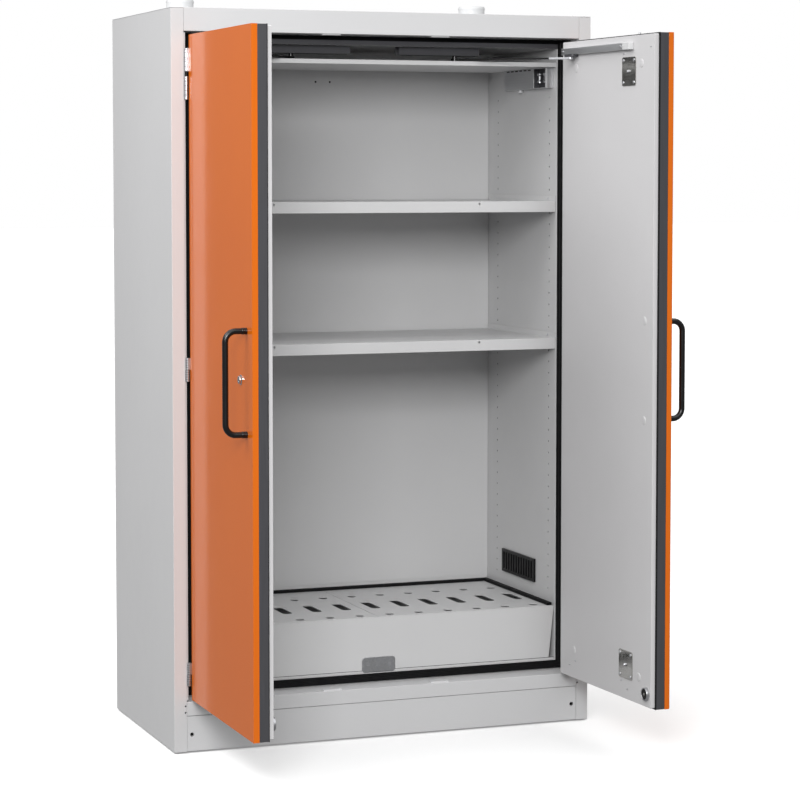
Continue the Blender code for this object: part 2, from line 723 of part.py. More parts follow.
def build_closer_guides(steel):
    """Channels under the top board, open below, in which the closer arms slide."""
    half = GUIDE_INNER_WIDTH / 2 + GUIDE_WALL
    roof = TOP_BOARD_BOTTOM - FIT_GAP
    path = [
        (GUIDE_Y - half, roof - GUIDE_HEIGHT),
        (GUIDE_Y - half, roof),
        (GUIDE_Y + half, roof),
        (GUIDE_Y + half, roof - GUIDE_HEIGHT),
    ]
    outline = bent_outline(path, GUIDE_WALL)
    for side_name, side in SIDES.items():
        ends = sorted((side * GUIDE_START, side * (GUIDE_START + GUIDE_LENGTH)))
        add_object(f"{side_name}_closer_guide", prism(outline, "YZ", *ends), steel, CABINET)


def door_box(side, along, through, heights, bm=None):
    """A box on an open door: along the leaf, through its thickness, and up."""
    low = (HINGE_X - through[1], HINGE_Y - along[1], heights[0])
    high = (HINGE_X - through[0], HINGE_Y - along[0], heights[1])
    return mirrored_box(side, low, high, bm)


def build_door_leaf(side_name, side, paint, core_finish, liner_finish):
    """Folded steel skin, fire core with its dark edge, and inner liner of one door."""
    carrier = DOORS[side_name]
    inwards = (-side, 0.0, 0.0)
    outwards = (side, 0.0, 0.0)
    skin = door_box(side, (EDGE_OFFSET, DOOR_FREE), (SKIN_FACE, SKIN_EDGE), (DOOR_BOTTOM, DOOR_TOP))
    hollow(skin, inwards, SKIN_SHEET, SKIN_RETURN - SKIN_SHEET)
    add_object(f"{side_name}_door_skin", skin, paint, carrier)

    inset = CORE_EDGE_INSET
    core = door_box(
        side, (EDGE_OFFSET + inset, DOOR_FREE - inset), (CORE_FACE, CORE_BACK),
        (DOOR_BOTTOM + inset, DOOR_TOP - inset))
    face = facing(core, outwards)
    bmesh.ops.inset_region(core, faces=[face], thickness=SKIN_SHEET + FIT_GAP - inset, use_even_offset=True)
    plug = bmesh.ops.extrude_discrete_faces(core, faces=[face])["faces"][0]
    bmesh.ops.translate(core, verts=plug.verts, vec=Vector(outwards) * (SKIN_RETURN - SKIN_SHEET))
    core_node = add_object(f"{side_name}_door_core", core, core_finish, carrier)

    edge = LINER_EDGE_INSET
    liner = door_box(
        side, (EDGE_OFFSET + edge, DOOR_FREE - edge), (LINER_FACE, LINER_BACK),
        (DOOR_BOTTOM + edge, DOOR_TOP - edge))
    soften(liner, LINER_ROUNDING)
    add_object(f"{side_name}_door_liner", liner, liner_finish, carrier)
    return core_node


def build_handle(side_name, side, black):
    """A bow handle bent from round bar: leg, bend, grip, bend, leg."""
    along = DOOR_FREE - HANDLE_FROM_EDGE
    face_x = side * (HINGE_X - SKIN_FACE + FIT_GAP)
    y = HINGE_Y - along
    bottom = HANDLE_HEIGHT - HANDLE_SPAN / 2
    top = HANDLE_HEIGHT + HANDLE_SPAN / 2
    bend_x = face_x + side * (HANDLE_STANDOFF - HANDLE_BEND)
    bm = bmesh.new()
    bmesh.ops.create_circle(
        bm, cap_ends=True, segments=12, radius=HANDLE_RADIUS,
        matrix=Matrix.Translation((face_x, y, bottom)) @ Matrix.Rotation(math.pi / 2, 4, "Y"))
    end = [bm.faces[:][0]]
    turn_axis = (0.0, -side, 0.0)
    end = extend(bm, end, (bend_x - face_x, 0.0, 0.0))
    end = swing(bm, end, (bend_x, y, bottom + HANDLE_BEND), turn_axis)
    end = extend(bm, end, (0.0, 0.0, top - bottom - 2 * HANDLE_BEND))
    end = swing(bm, end, (bend_x, y, top - HANDLE_BEND), turn_axis)
    extend(bm, end, (face_x - bend_x, 0.0, 0.0))
    add_object(f"{side_name}_door_handle", bm, black, DOORS[side_name], 50)


def extend(bm, end, move):
    """Push the end face of a bar straight on."""
    grown = bmesh.ops.extrude_face_region(bm, geom=end)["geom"]
    verts = [item for item in grown if isinstance(item, bmesh.types.BMVert)]
    bmesh.ops.translate(bm, verts=verts, vec=move)
    return drop_inner(bm, end, grown)


def swing(bm, end, centre, axis):
    """Bend the end of a bar through a right angle."""
    grown = bmesh.ops.spin(
        bm, geom=end, cent=centre, axis=axis, angle=math.pi / 2, steps=6, use_merge=False)["geom_last"]
    return drop_inner(bm, end, grown)


def drop_inner(bm, old, grown):
    """Keep the first cap of a bar, take out each inner face, and hand back the new end."""
    new = [item for item in grown if isinstance(item, bmesh.types.BMFace)]
    inner = [face for face in old if face.is_valid and any(len(edge.link_faces) > 2 for edge in face.edges)]
    bmesh.ops.delete(bm, geom=inner, context="FACES_ONLY")
    return new


def build_lock(steel, left_skin_hole):
    """The cylinder lock of the left door, with a keyway across its face."""
    y = HINGE_Y - (DOOR_FREE - LOCK_FROM_EDGE)
    face_x = -(HINGE_X - SKIN_FACE)
    length = LOCK_PROUD + LOCK_DEPTH
    centre = (face_x - LOCK_PROUD + length / 2, y, LOCK_HEIGHT)
    barrel = cylinder(centre, (1, 0, 0), LOCK_RADIUS, length, 20)
    node = add_object("lock_cylinder", barrel, steel, LOCK, 40)
    half = LOCK_KEYWAY / 2
    keyway = box(
        (face_x - 2 * LOCK_PROUD, y - half, LOCK_HEIGHT - 3 * half),
        (face_x - LOCK_PROUD / 2, y + half, LOCK_HEIGHT + 3 * half))
    combine(node, keyway, "DIFFERENCE")
    for part in left_skin_hole:
        hole = cylinder(centre, (1, 0, 0), LOCK_RADIUS + FIT_GAP, length + 2 * FIT_GAP, 20)
        combine(part, hole, "DIFFERENCE")


def build_magnet(side_name, side, steel):
    """The pot magnet at the lower free corner of a door."""
    x = side * (HINGE_X - LINER_BACK - FIT_GAP - MAGNET_THICKNESS / 2)
    centre = (x, HINGE_Y - (DOOR_FREE - LINER_EDGE_INSET - MAGNET_FROM_EDGE), MAGNET_HEIGHT)
    magnet = cylinder(centre, (1, 0, 0), MAGNET_RADIUS, MAGNET_THICKNESS, 24)
    add_object(f"{side_name}_door_magnet", magnet, steel, DOORS[side_name], 40)


def build_closer(side_name, side, steel):
    """The door closer on the liner, its arm, and the slider that runs in the guide."""
    body = door_box(
        side, (CLOSER_START, CLOSER_START + CLOSER_LENGTH),
        (LINER_BACK + FIT_GAP, LINER_BACK + FIT_GAP + CLOSER_DEPTH), (CLOSER_BOTTOM, CLOSER_TOP))
    soften(body, CLOSER_CHAMFER, 1)
    add_object(f"{side_name}_door_closer", body, steel, DOORS[side_name], 30)

    pivot = PLACES[ARMS[side_name].name]
    rise = GUIDE_Y - pivot.y
    run = math.sqrt(ARM_LENGTH ** 2 - rise ** 2)
    tip = Vector((pivot.x - side * run, GUIDE_Y, 0.0))
    middle_z = (ARM_BOTTOM + ARM_TOP) / 2
    along = (tip - Vector((pivot.x, pivot.y, 0.0))).normalized()
    turn = Matrix.Rotation(math.atan2(along.y, along.x), 4, "Z")
    centre = (Vector((pivot.x, pivot.y, 0.0)) + tip) / 2 + Vector((0.0, 0.0, middle_z))
    bm = bmesh.new()
    size = Matrix.Diagonal((ARM_LENGTH, ARM_WIDTH, ARM_THICKNESS, 1.0))
    bmesh.ops.create_cube(bm, size=1.0, matrix=Matrix.Translation(centre) @ turn @ size)
    node = add_object(f"{side_name}_closer_arm", bm, steel, ARMS[side_name], 40)
    pin_top = CLOSER_BOTTOM - FIT_GAP
    slider_top = TOP_BOARD_BOTTOM - FIT_GAP - GUIDE_WALL - FIT_GAP
    ends = ((Vector((pivot.x, pivot.y, 0.0)), pin_top), (tip, slider_top))
    for place, top in ends:
        eye_centre = place + Vector((0.0, 0.0, middle_z))
        eye = cylinder(eye_centre, (0, 0, 1), ARM_EYE_RADIUS, ARM_EYE_THICKNESS, 20)
        combine(node, eye, "UNION")
        height = top - ARM_BOTTOM
        pin = cylinder(place + Vector((0.0, 0.0, top - height / 2)), (0, 0, 1), SLIDER_RADIUS, height, 16)
        combine(node, pin, "UNION")


def build_hinge(side_name, side, level, steel):
    """One knuckle hinge: frame leaf with its pin below, door leaf with its bore above."""
    middle, height, gap = HINGES[level]
    half = height / 2
    low_z = middle - half
    axis_x = side * HINGE_X
    leaf_height = half - gap / 2
    frame_centre = (axis_x, HINGE_Y, low_z + leaf_height / 2)
    frame = cylinder(frame_centre, (0, 0, 1), HINGE_RADIUS, leaf_height, 16)
    node = add_object(f"{side_name}_{level}_frame_hinge", frame, steel, CABINET, 40)
    wall = STILE_X - FIT_GAP
    leaf = mirrored_box(
        side, (wall - HINGE_LEAF, HINGE_Y, low_z), (wall, HINGE_Y + HINGE_LEAF_WIDTH, low_z + leaf_height))
    combine(node, leaf, "UNION")
    pin = cylinder((axis_x, HINGE_Y, middle), (0, 0, 1), HINGE_PIN_RADIUS, height * HINGE_PIN_SHARE, 14)
    combine(node, pin, "UNION")

    door_centre = (axis_x, HINGE_Y, middle + gap / 2 + leaf_height / 2)
    knuckle = cylinder(door_centre, (0, 0, 1), HINGE_RADIUS, leaf_height, 16)
    door = add_object(f"{side_name}_{level}_door_hinge", knuckle, steel, DOORS[side_name], 40)
    edge = EDGE_OFFSET - FIT_GAP
    heights = (middle + gap / 2, middle + half)
    combine(door, door_box(side, (edge - HINGE_LEAF, edge), (0.0, HINGE_LEAF_WIDTH), heights), "UNION")
    bore = cylinder((axis_x, HINGE_Y, middle), (0, 0, 1), HINGE_PIN_RADIUS + FIT_GAP, 2 * height, 14)
    combine(door, bore, "DIFFERENCE")


clear_scene()
PLACES = {}
CABINET = empty("cabinet_frame")
INSERT = empty("sump_insert_lift", (0.0, (SUMP_FRONT + SUMP_REAR) / 2, INSERT_BOTTOM), CABINET)
SHELF_CARRIERS = {
    level: empty(f"{level}_shelf_lift", (0.0, (SHELF_FRONT + SHELF_REAR) / 2, top), CABINET)
    for level, top in SHELF_TOPS.items()
}
DOORS = {
    side_name: empty(f"{side_name}_door_axis", (side * HINGE_X, HINGE_Y, DOOR_BOTTOM), CABINET)
    for side_name, side in SIDES.items()
}
ARMS = {
    side_name: empty(
        f"{side_name}_arm_axis",
        (side * (HINGE_X - ARM_PIVOT_THROUGH), HINGE_Y - ARM_PIVOT_ALONG, ARM_BOTTOM), DOORS[side_name])
    for side_name, side in SIDES.items()
}
for door_name, door_sign in SIDES.items():
    past_square = math.radians(DOOR_PAST_SQUARE[door_name])
    DOORS[door_name].rotation_euler.z = door_sign * past_square
    ARMS[door_name].rotation_euler.z = -door_sign * past_square * ARM_FOLLOW
LOCK = empty(
    "lock_axis",
    (-(HINGE_X - SKIN_FACE), HINGE_Y - (DOOR_FREE - LOCK_FROM_EDGE), LOCK_HEIGHT), DOORS["left"])

PAINT = finish_material("light_grey_paint", "DDDEDF", 0.45)
ORANGE = finish_material("orange_paint", "DE6A1C", 0.25)
BOARD = finish_material("grey_board", "C4C4C6", 0.55)
CORE = finish_material("anthracite_edge", "3B3B3F", 0.55)
RUBBER = finish_material("black_rubber", "141416", 0.7)
BLACK = finish_material("black_plastic", "1B1B1D", 0.4)
WHITE = finish_material("white_plastic", "E8E8E8", 0.4)
STEEL = finish_material("zinc_steel", "B9BABC", 0.35, 0.9)

build_casings(PAINT)
build_boards(BOARD)
build_ceiling(PAINT)
build_frame_seal(RUBBER)
build_feet(BLACK)
build_spigots(WHITE)
build_grilles(BLACK)
build_release_unit(STEEL)
build_sump(PAINT)
build_keeper(STEEL)
build_shelves(PAINT)
build_closer_guides(STEEL)
for door_side, door_sign in SIDES.items():
    door_core = build_door_leaf(door_side, door_sign, ORANGE, CORE, BOARD)
    build_handle(door_side, door_sign, BLACK)
    build_magnet(door_side, door_sign, STEEL)
    build_closer(door_side, door_sign, STEEL)
    for hinge_level in HINGES:
        build_hinge(door_side, door_sign, hinge_level, STEEL)
    if door_side == "left":
        build_lock(STEEL, (bpy.data.objects["left_door_skin"], door_core))
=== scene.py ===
"""Looks of a fire-rated safety cabinet with two wing doors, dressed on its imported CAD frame.

Metres, +Z up, +X to the right of someone who faces the open front, +Y to the back.
"""

import json
import math

import bmesh
import bpy
from mathutils import Matrix, Vector

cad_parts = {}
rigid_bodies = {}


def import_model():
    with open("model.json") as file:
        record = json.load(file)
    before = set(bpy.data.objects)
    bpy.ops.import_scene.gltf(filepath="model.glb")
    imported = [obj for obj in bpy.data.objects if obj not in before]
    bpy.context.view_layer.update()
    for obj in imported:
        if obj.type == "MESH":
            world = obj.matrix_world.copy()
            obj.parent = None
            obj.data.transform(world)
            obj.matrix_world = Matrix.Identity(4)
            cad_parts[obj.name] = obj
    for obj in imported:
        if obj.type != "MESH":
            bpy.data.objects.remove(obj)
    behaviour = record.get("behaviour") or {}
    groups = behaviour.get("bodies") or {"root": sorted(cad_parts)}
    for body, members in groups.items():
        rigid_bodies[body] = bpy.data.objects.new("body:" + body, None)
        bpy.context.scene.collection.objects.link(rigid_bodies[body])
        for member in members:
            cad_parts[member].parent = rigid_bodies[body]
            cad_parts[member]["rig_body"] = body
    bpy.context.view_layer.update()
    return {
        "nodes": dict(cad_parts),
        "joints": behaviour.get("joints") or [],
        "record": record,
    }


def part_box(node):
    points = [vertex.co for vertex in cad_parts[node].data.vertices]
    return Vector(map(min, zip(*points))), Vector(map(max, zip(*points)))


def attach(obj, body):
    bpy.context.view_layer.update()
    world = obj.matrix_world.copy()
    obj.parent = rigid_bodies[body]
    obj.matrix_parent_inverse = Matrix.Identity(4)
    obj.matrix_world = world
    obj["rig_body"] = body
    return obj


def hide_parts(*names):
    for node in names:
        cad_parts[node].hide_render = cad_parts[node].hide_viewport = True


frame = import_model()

NODES = frame["nodes"]
JOINTS = {joint["name"]: joint for joint in frame["joints"]}
SLOTS = {part["node"]: part["material_slot"] for part in frame["record"]["subparts"]}
SIDES = {"left": -1, "right": 1}
SQUARE = 90.0
RIGHT = Vector((1.0, 0.0, 0.0))
BACK = Vector((0.0, 1.0, 0.0))
UP = Vector((0.0, 0.0, 1.0))
HINGE_Y = JOINTS["right_door_swing"]["pos_m"][1]

# Camera that stands where the photograph was taken
CAMERA_PLACE = (-2.402, -6.421, 1.530)
CAMERA_TURN = 20.74
CAMERA_TILT = -3.66
CAMERA_FOCAL = 114.9
CAMERA_SENSOR = 36.0
CAMERA_REACH = 200.0
CAMERA_SHIFT = (0.0068, -0.082)

# Studio light: a room brighter above, a broad light overhead, a pale floor
ROOM_LOW = 0.26
ROOM_HIGH = 0.62
OVERHEAD_POWER = 2.6
OVERHEAD_SPREAD = 110.0
OVERHEAD_TURN = (12.0, -14.0, 0.0)
FLOOR_SIZE = 60.0
FLOOR_COLOUR = "F2F2F2"
FLOOR_ROUGHNESS = 0.8
FLOOR_GLOW = 0.14
WHITE = "FFFFFF"

# Softboxes in front and at the left side: where each stands, what it looks at, its size and its power
SOFTBOXES = {
    "front": ((-2.1, -4.5, 2.55), (0.0, 0.0, 1.2), (1.8, 1.25), 148.0),
    "side": ((-2.5, -0.5, 3.1), (-0.6, 0.3, 1.75), (1.2, 1.0), 25.0),
}

# Patterns in the finishes: the range of a pattern that counts, the strength of relief, drawn streaks
PATTERN_LOW = 0.3
PATTERN_HIGH = 0.7
RELIEF_STRENGTH = 0.6
FOIL_STREAKS = (220.0, 220.0, 9.0)
DRAW_LINES = (900.0, 6.0, 900.0)

# Rounding of folded, cut and moulded edges, for each finish
EDGE_RADII = {
    "casing_paint": 0.0011,
    "interior_paint": 0.0006,
    "board_face": 0.0008,
    "door_paint": 0.0005,
    "door_core": 0.0010,
    "door_liner": 0.0012,
    "zinc_steel": 0.0005,
    "black_plastic": 0.0007,
    "closer_silver": 0.0006,
    "lock_chrome": 0.0006,
}
SHARP_FROM = 30.0
SMOOTH_BELOW = 35.0
PLATE_RIM = 0.0007
FOLD_RADIUS = 0.003
FOLD_LENGTH = 0.1

# Steps round turned pieces and holes, and over rounded edges
TURN_STEPS = 28
SCREW_STEPS = 20
DRILL_STEPS = 12
RECESS_STEPS = 24
HOLE_SLEEVE_STEPS = 10
HINGE_STEPS = 24
SPIGOT_STEPS = 48
DISC_STEPS = 40
ROLLER_STEPS = 32
CORNER_STEPS = 6
FOLD_STEPS = 5
SLOT_STEPS = 5
BOX_STEPS = 3
EDGE_STEPS = 2

# Limits for points that meet, edges that vanish or run along an axis, and faces that lie level or face one
MEETING = 1e-6
CAD_MEETING = 2e-6
VANISHING = 1e-7
ALONG_AXIS = 1e-5
LEVEL_WITHIN = 1.0
FACING_AXIS = 0.9

# Rows of shelf holes in the inner walls, and the two holes in the rear wall
HOLE_PITCH = 0.032
HOLE_RADIUS = 0.0031
HOLE_DEPTH = 0.012
# Dark cups in the holes are painted shade: how far in they sit and their outline
HOLE_SLEEVE_DEPTH = 0.0012
HOLE_TOP = 1.7341
HOLE_BOTTOM = 0.355
HOLE_COLUMNS = (0.0915, 0.4567)
REAR_HOLES = ((-0.0125, 1.785), (0.0305, 1.785))
HOLE_SLEEVE_SHAPE = ((0.0, 0.5), (0.7, 0.5), (0.8, 0.0), (0.97, 0.0), (0.97, 0.9), (0.0, 0.9))

# Shelves: the holes in the front lip, the upstands at the ends
SHELF_HOLE_X = 0.296
SHELF_HOLE_DROP = 0.007
SHELF_UPSTAND = 0.015
SHELF_SHEET = 0.0015

# A pan-head screw as shares of its radius and height, and the screws' sizes and places
SCREW_SHAPE = ((0.0, 0.4), (0.40, 0.4), (0.48, 1.0), (0.80, 0.93), (1.0, 0.45), (1.0, 0.0), (0.0, 0.0))
SCREW_RADIUS = 0.0042
SCREW_HEIGHT = 0.0022
SMALL_SCREW = 0.0028
LINER_SCREW = 0.0019
PLINTH_SCREW = (0.548, 0.0494)
PLINTH_RECESS = 0.0058
ROOF_SCREW_X = (0.547, 0.583)
SCREW_INSET = 0.012
REAR_SCREW_ROWS = 7

# Stiles: the notches at their feet, and the lip behind the front of each
STILE_NOTCH_X = 0.5655
STILE_NOTCHES = {"left": (0.1261, 0.1086), "right": (0.1092,)}
STILE_NOTCH_RADIUS = 0.0028
STILE_LIP = 0.005
STILE_LIP_BACK = 0.0034

# Seal on the rebate: widths of its sides, its ribs, and the dark strip on the edge of the recess, which is
# painted shade
SEAL_SIDE = 0.0352
SEAL_TOP = 0.010
SEAL_BOTTOM = 0.0210
SEAL_RIBS = 5
SEAL_GROOVE = 0.0016
RECESS_SHADE_STRIP = 0.0015

# Fittings inside the doors: places along the leaf from the hinge axis and up, pins as (radius, height)
LATCH_PLATE = 0.0745
LATCH_ALONG = 0.412
LATCH_HEIGHTS = (1.787, 0.239)
LATCH_THICKNESS = 0.0022
LATCH_CORNER = 0.006
LATCH_SCREW_INSET = 0.0085
LATCH_PIN = (0.0048, 0.006)
CAP = (0.0115, 0.0016)
CAP_SHAPE = ((0.0, 1.0), (0.72, 0.96), (0.93, 0.6), (1.0, 0.0), (0.0, 0.0))
CAP_PLACES = (
    (0.108, 1.806), (0.477, 1.806), (0.109, 0.224), (0.481, 0.218), (0.501, 1.146), (0.501, 0.889))
LINER_SCREWS = (
    (0.382, 1.833), (0.530, 1.846), (0.387, 0.193), (0.421, 0.175), (0.120, 0.197), (0.086, 0.181))
LINER_SET_BACK = 0.016
LINER_RISE = 0.0025
LINER_CORNER = 0.003
TOP_PIN_ALONG = 0.4554
TOP_PIN = (0.0034, 0.0045)
GASKET_WIDTH = 0.0006
GASKET_PROUD = 0.0004
GASKET_WRAP = 0.0012

# Closer on each door and the pivot of its arm
CLOSER_SHORTER = 0.060
CLOSER_DEPTH = 0.014
CLOSER_TRIM_BELOW = 0.0048
CLOSER_TRIM_ABOVE = 0.0012
CLOSER_END = 0.037
CLOSER_END_PROUD = 0.0008
CLOSER_ROUNDING = 0.0018
CLOSER_SCREW_INSET = 0.012
BRACKET_HALF = 0.024
BRACKET_DEPTH = 0.018
# Length of the arm left zinc from its pivot; past it the arm is black as painted shade
ARM_SHADE_START = 0.058
PIVOT = (0.0088, 0.0014)
PIVOT_SHAPE = ((0.0, 1.0), (0.55, 0.92), (0.9, 0.55), (1.0, 0.0), (0.0, 0.0))

# Bow handle and the ferrules at its ends
HANDLE_STEPS = 24
HANDLE_BEND = 0.026
HANDLE_BEND_STEPS = 10
FERRULE = (0.0083, 0.0130)
FERRULE_SHAPE = (
    (0.0, 0.0), (1.0, 0.0), (1.0, 0.3), (0.93, 0.34), (0.93, 0.4), (1.0, 0.44),
    (1.0, 0.78), (0.93, 0.82), (0.93, 0.88), (1.0, 0.92), (0.97, 1.0), (0.0, 1.0))

# Cylinder lock
ROSETTE_RADIUS = 0.0128
ROSETTE_HEIGHT = 0.0020
ROSETTE_BORE = 0.0104

# Pot magnet: shares of its radius and thickness
POT_PROUD = 0.0028
POT_SHAPE = (
    (0.0, 0.0), (1.0, 0.0), (1.0, 0.88), (0.96, 1.0), (0.86, 1.0), (0.82, 0.9), (0.82, 0.6), (0.0, 0.6))
POT_FACE = ((0.24, 0.55), (0.80, 0.55), (0.80, 0.84), (0.24, 0.84))
POT_STUD = ((0.0, 0.5), (0.22, 0.5), (0.22, 0.92), (0.12, 1.0), (0.0, 1.0))

# Hinge knuckles: dark lines round them as painted shade of their ridges, and a dark sleeve on the pin
# between them as painted shade of the gap
KNUCKLE_RINGS = 4
KNUCKLE_LINE = 0.0007
KNUCKLE_RADIUS = 0.0052
PIN_SLEEVE_RADIUS = 0.0040
HINGE_RING_WALL = 0.0008

# Spigots on the roof, and the damper disc in each
SPIGOT_RADIUS = 0.0375
SPIGOT_WALL = 0.002
SPIGOT_FLANGE = 0.002
SPIGOT_RISE = 0.050
SPIGOT_BEAD = 0.0012
SPIGOT_BEAD_HEIGHT = 0.005
SPIGOT_SCREWS = 4
DAMPER_DEPTH = 0.014
DAMPER_THICKNESS = 0.0016
DAMPER_SHAPE = ((0.0, 0.0), (1.0, 0.0), (1.0, 0.62), (0.9, 0.9), (0.7, 1.0), (0.0, 1.0))

# Insert of the sump with its rows of slots (from the front, width, length), rail at the foot, rubber strip
PANEL_JOINT = 0.0018
SLOT_COLUMNS = 12
SLOT_ROWS = ((0.031, 0.023, 0.030), (0.182, 0.028, 0.110), (0.337, 0.023, 0.030))
SLOT_ROUND = 0.45
FOOT_RAIL = (0.0028, 0.0052)
# Height of the black line over the foot rail, a painted shadow; half of it also rounds the rail
FOOT_GAP = 0.0012
INSERT_SHEET = 0.002
STRIP_WIDTH = 0.014
STRIP_HEIGHT = 0.0085
STRIP_ROUNDING = 0.0012

# Release unit: a flat housing on the right wall, measured from the wall and from its front end
RELEASE_DEPTH = 0.019
RELEASE_LENGTH = 0.300
RELEASE_FORWARD = 0.0040
RELEASE_BOTTOM = 1.7605
RELEASE_SHEET = 0.0016
RELEASE_MOUTH = 0.092
RELEASE_ROUNDING = 0.0007
RELEASE_FLANGE = 0.011
ROLLER_RADIUS = 0.0078
ROLLER_LENGTH = 0.026
ROLLER_PLACES = (0.030, 0.070)
ROLLER_SHAPE = (
    (0.0, 0.0), (1.0, 0.0), (1.0, 0.14), (0.6, 0.3), (0.6, 0.7), (1.0, 0.86), (1.0, 1.0), (0.0, 1.0))
RELEASE_KNOB_PLACE = 0.205
RELEASE_KNOB = (0.0075, 0.0095)
KNOB_SHAPE = ((0.0, 1.0), (0.7, 0.97), (0.95, 0.8), (1.0, 0.55), (0.6, 0.4), (0.6, 0.0), (0.0, 0.0))
RELEASE_VENTS = 6
RELEASE_VENT_START = 0.112
RELEASE_VENT_PITCH = 0.030
RELEASE_VENT = (0.019, 0.0035)

# Keeper plate
KEEPER_CORNER = 0.009
KEEPER_SCREW_X = 0.032
KEEPER_SCREW_HEIGHT = 0.0004

# Vent grilles
GAUZE_THICKNESS = 0.0012
GAUZE_INSET = 0.006


def linear(hex_colour):
    """An sRGB hex colour as linear red, green, blue and alpha."""
    channels = [int(hex_colour[i:i + 2], 16) / 255 for i in (0, 2, 4)]
    return [c / 12.92 if c <= 0.04045 else ((c + 0.055) / 1.055) ** 2.4 for c in channels] + [1.0]


def add(tree, kind, inputs=None, output=0, **settings):
    """Add a shader node, fill or link its inputs, and hand back one output."""
    item = tree.nodes.new(kind)
    for name, value in settings.items():
        setattr(item, name, value)
    for socket, value in (inputs or {}).items():
        if isinstance(value, bpy.types.NodeSocket):
            tree.links.new(value, item.inputs[socket])
        else:
            item.inputs[socket].default_value = value
    return item.outputs[output]


class Finish:
    """A material in the making, with patterns that lie on object coordinates."""

    def __init__(self, name, **values):
        self.material = bpy.data.materials.new(name)
        self.material.use_nodes = True
        self.tree = self.material.node_tree
        self.shader = self.tree.nodes["Principled BSDF"]
        self.place = add(self.tree, "ShaderNodeTexCoord", output="Object")
        for socket, value in values.items():
            self.shader.inputs[socket.replace("_", " ")].default_value = value

    def noise(self, size, detail, distortion=0.0):
        """Clouds of about a size in metres."""
        inputs = {"Vector": self.place, "Scale": 1 / size, "Detail": detail, "Distortion": distortion}
        return add(self.tree, "ShaderNodeTexNoise", inputs)

    def streaks(self, counts, detail):
        """Clouds drawn out to streaks, counted to the metre along each axis."""
        drawn = add(self.tree, "ShaderNodeMapping", {"Vector": self.place, "Scale": counts})
        return add(self.tree, "ShaderNodeTexNoise", {"Vector": drawn, "Scale": 1.0, "Detail": detail})

    def cells(self, size, **settings):
        """Grains of about a size in metres."""
        return add(self.tree, "ShaderNodeTexVoronoi", {"Vector": self.place, "Scale": 1 / size}, **settings)

    def tint(self, pattern, colour, cloud):
        """Let a pattern mix two colours."""
        inputs = {"Factor": pattern, "A": linear(colour), "B": linear(cloud)}
        mixed = add(self.tree, "ShaderNodeMix", inputs, output="Result", data_type="RGBA")
        self.tree.links.new(mixed, self.shader.inputs["Base Color"])

    def gloss(self, pattern, smooth, dull):
        """Let a pattern move the roughness between two values."""
        limits = {"From Min": PATTERN_LOW, "From Max": PATTERN_HIGH, "To Min": smooth, "To Max": dull}
        roughness = add(self.tree, "ShaderNodeMapRange", {"Value": pattern, **limits})
        self.tree.links.new(roughness, self.shader.inputs["Roughness"])

    def relief(self, pattern, height):
        """Let a pattern raise the surface by a height in metres."""
        inputs = {"Height": pattern, "Strength": RELIEF_STRENGTH, "Distance": height}
        self.tree.links.new(add(self.tree, "ShaderNodeBump", inputs), self.shader.inputs["Normal"])


def powder_coat(name, *colours, roughness, peel, peel_height):
    """Baked powder on sheet steel: slow drift of colour, gloss marked by handling, fine orange peel."""
    coat = Finish(name, IOR=1.5)
    coat.tint(coat.noise(size=0.35, detail=2.0), *colours)
    marks = coat.noise(size=0.06, detail=5.0, distortion=0.6)
    coat.gloss(marks, smooth=roughness - 0.035, dull=roughness + 0.045)
    coat.relief(coat.noise(size=peel, detail=2.0), peel_height)
    return coat.material


def melamine_board(name, *colours):
    """Resin-faced board: a flat satin grey with a pressed pearl grain, coarser than the real one."""
    board = Finish(name, IOR=1.48)
    board.tint(board.noise(size=0.22, detail=3.0), *colours)
    wipe = board.noise(size=0.09, detail=4.0, distortion=0.4)
    board.gloss(wipe, smooth=0.42, dull=0.54)
    board.relief(board.cells(size=0.0024, feature="SMOOTH_F1"), height=0.00005)
    return board.material


def edge_film(name, *colours):
    """Foil on the sawn edge of the fire board: anthracite, drawn tight one way, slightly leathery."""
    foil = Finish(name, IOR=1.46)
    streaks = foil.streaks(FOIL_STREAKS, detail=3.0)
    foil.tint(streaks, *colours)
    foil.gloss(streaks, smooth=0.40, dull=0.55)
    foil.relief(foil.cells(size=0.003, feature="SMOOTH_F1"), height=0.00008)
    return foil.material


def foam_rubber(name, *colours):
    """Graphite-filled rubber that swells in a fire: dull black with a dusty bloom and open pores."""
    rubber = Finish(name, IOR=1.5, Specular_IOR_Level=0.2)
    bloom = rubber.noise(size=0.03, detail=5.0)
    rubber.tint(bloom, *colours)
    rubber.gloss(bloom, smooth=0.58, dull=0.78)
    rubber.relief(rubber.cells(size=0.0022), height=0.00012)
    return rubber.material


def moulded_plastic(name, *colours, roughness, shine):
    """Injection-moulded plastic: even colour, flow marks in the gloss, the fine grain of its mould."""
    plastic = Finish(name, IOR=1.46, Specular_IOR_Level=shine)
    flow = plastic.noise(size=0.05, detail=3.0, distortion=1.2)
    plastic.tint(flow, *colours)
    plastic.gloss(flow, smooth=roughness - 0.05, dull=roughness + 0.06)
    plastic.relief(plastic.noise(size=0.0012, detail=3.0), height=0.00004)
    return plastic.material


def zinc_plate(name, *colours):
    """Zinc-plated steel: pale metal, a little dull, with small crystals that shine differently."""
    zinc = Finish(name, Metallic=1.0)
    crystals = add(zinc.tree, "ShaderNodeSeparateColor", {"Color": zinc.cells(size=0.006, output="Color")})
    zinc.tint(crystals, *colours)
    zinc.gloss(crystals, smooth=0.34, dull=0.44)
    zinc.relief(zinc.noise(size=0.004, detail=4.0), height=0.00005)
    return zinc.material


def bright_steel(name, *colours, smooth, dull):
    """Nickel or chrome on polished steel: a clear mirror with wiping marks and a slight wave."""
    steel = Finish(name, Metallic=1.0)
    wave = steel.noise(size=0.07, detail=1.0)
    steel.tint(wave, *colours)
    steel.gloss(steel.noise(size=0.012, detail=6.0, distortion=1.5), smooth, dull)
    steel.relief(wave, height=0.0006)
    return steel.material


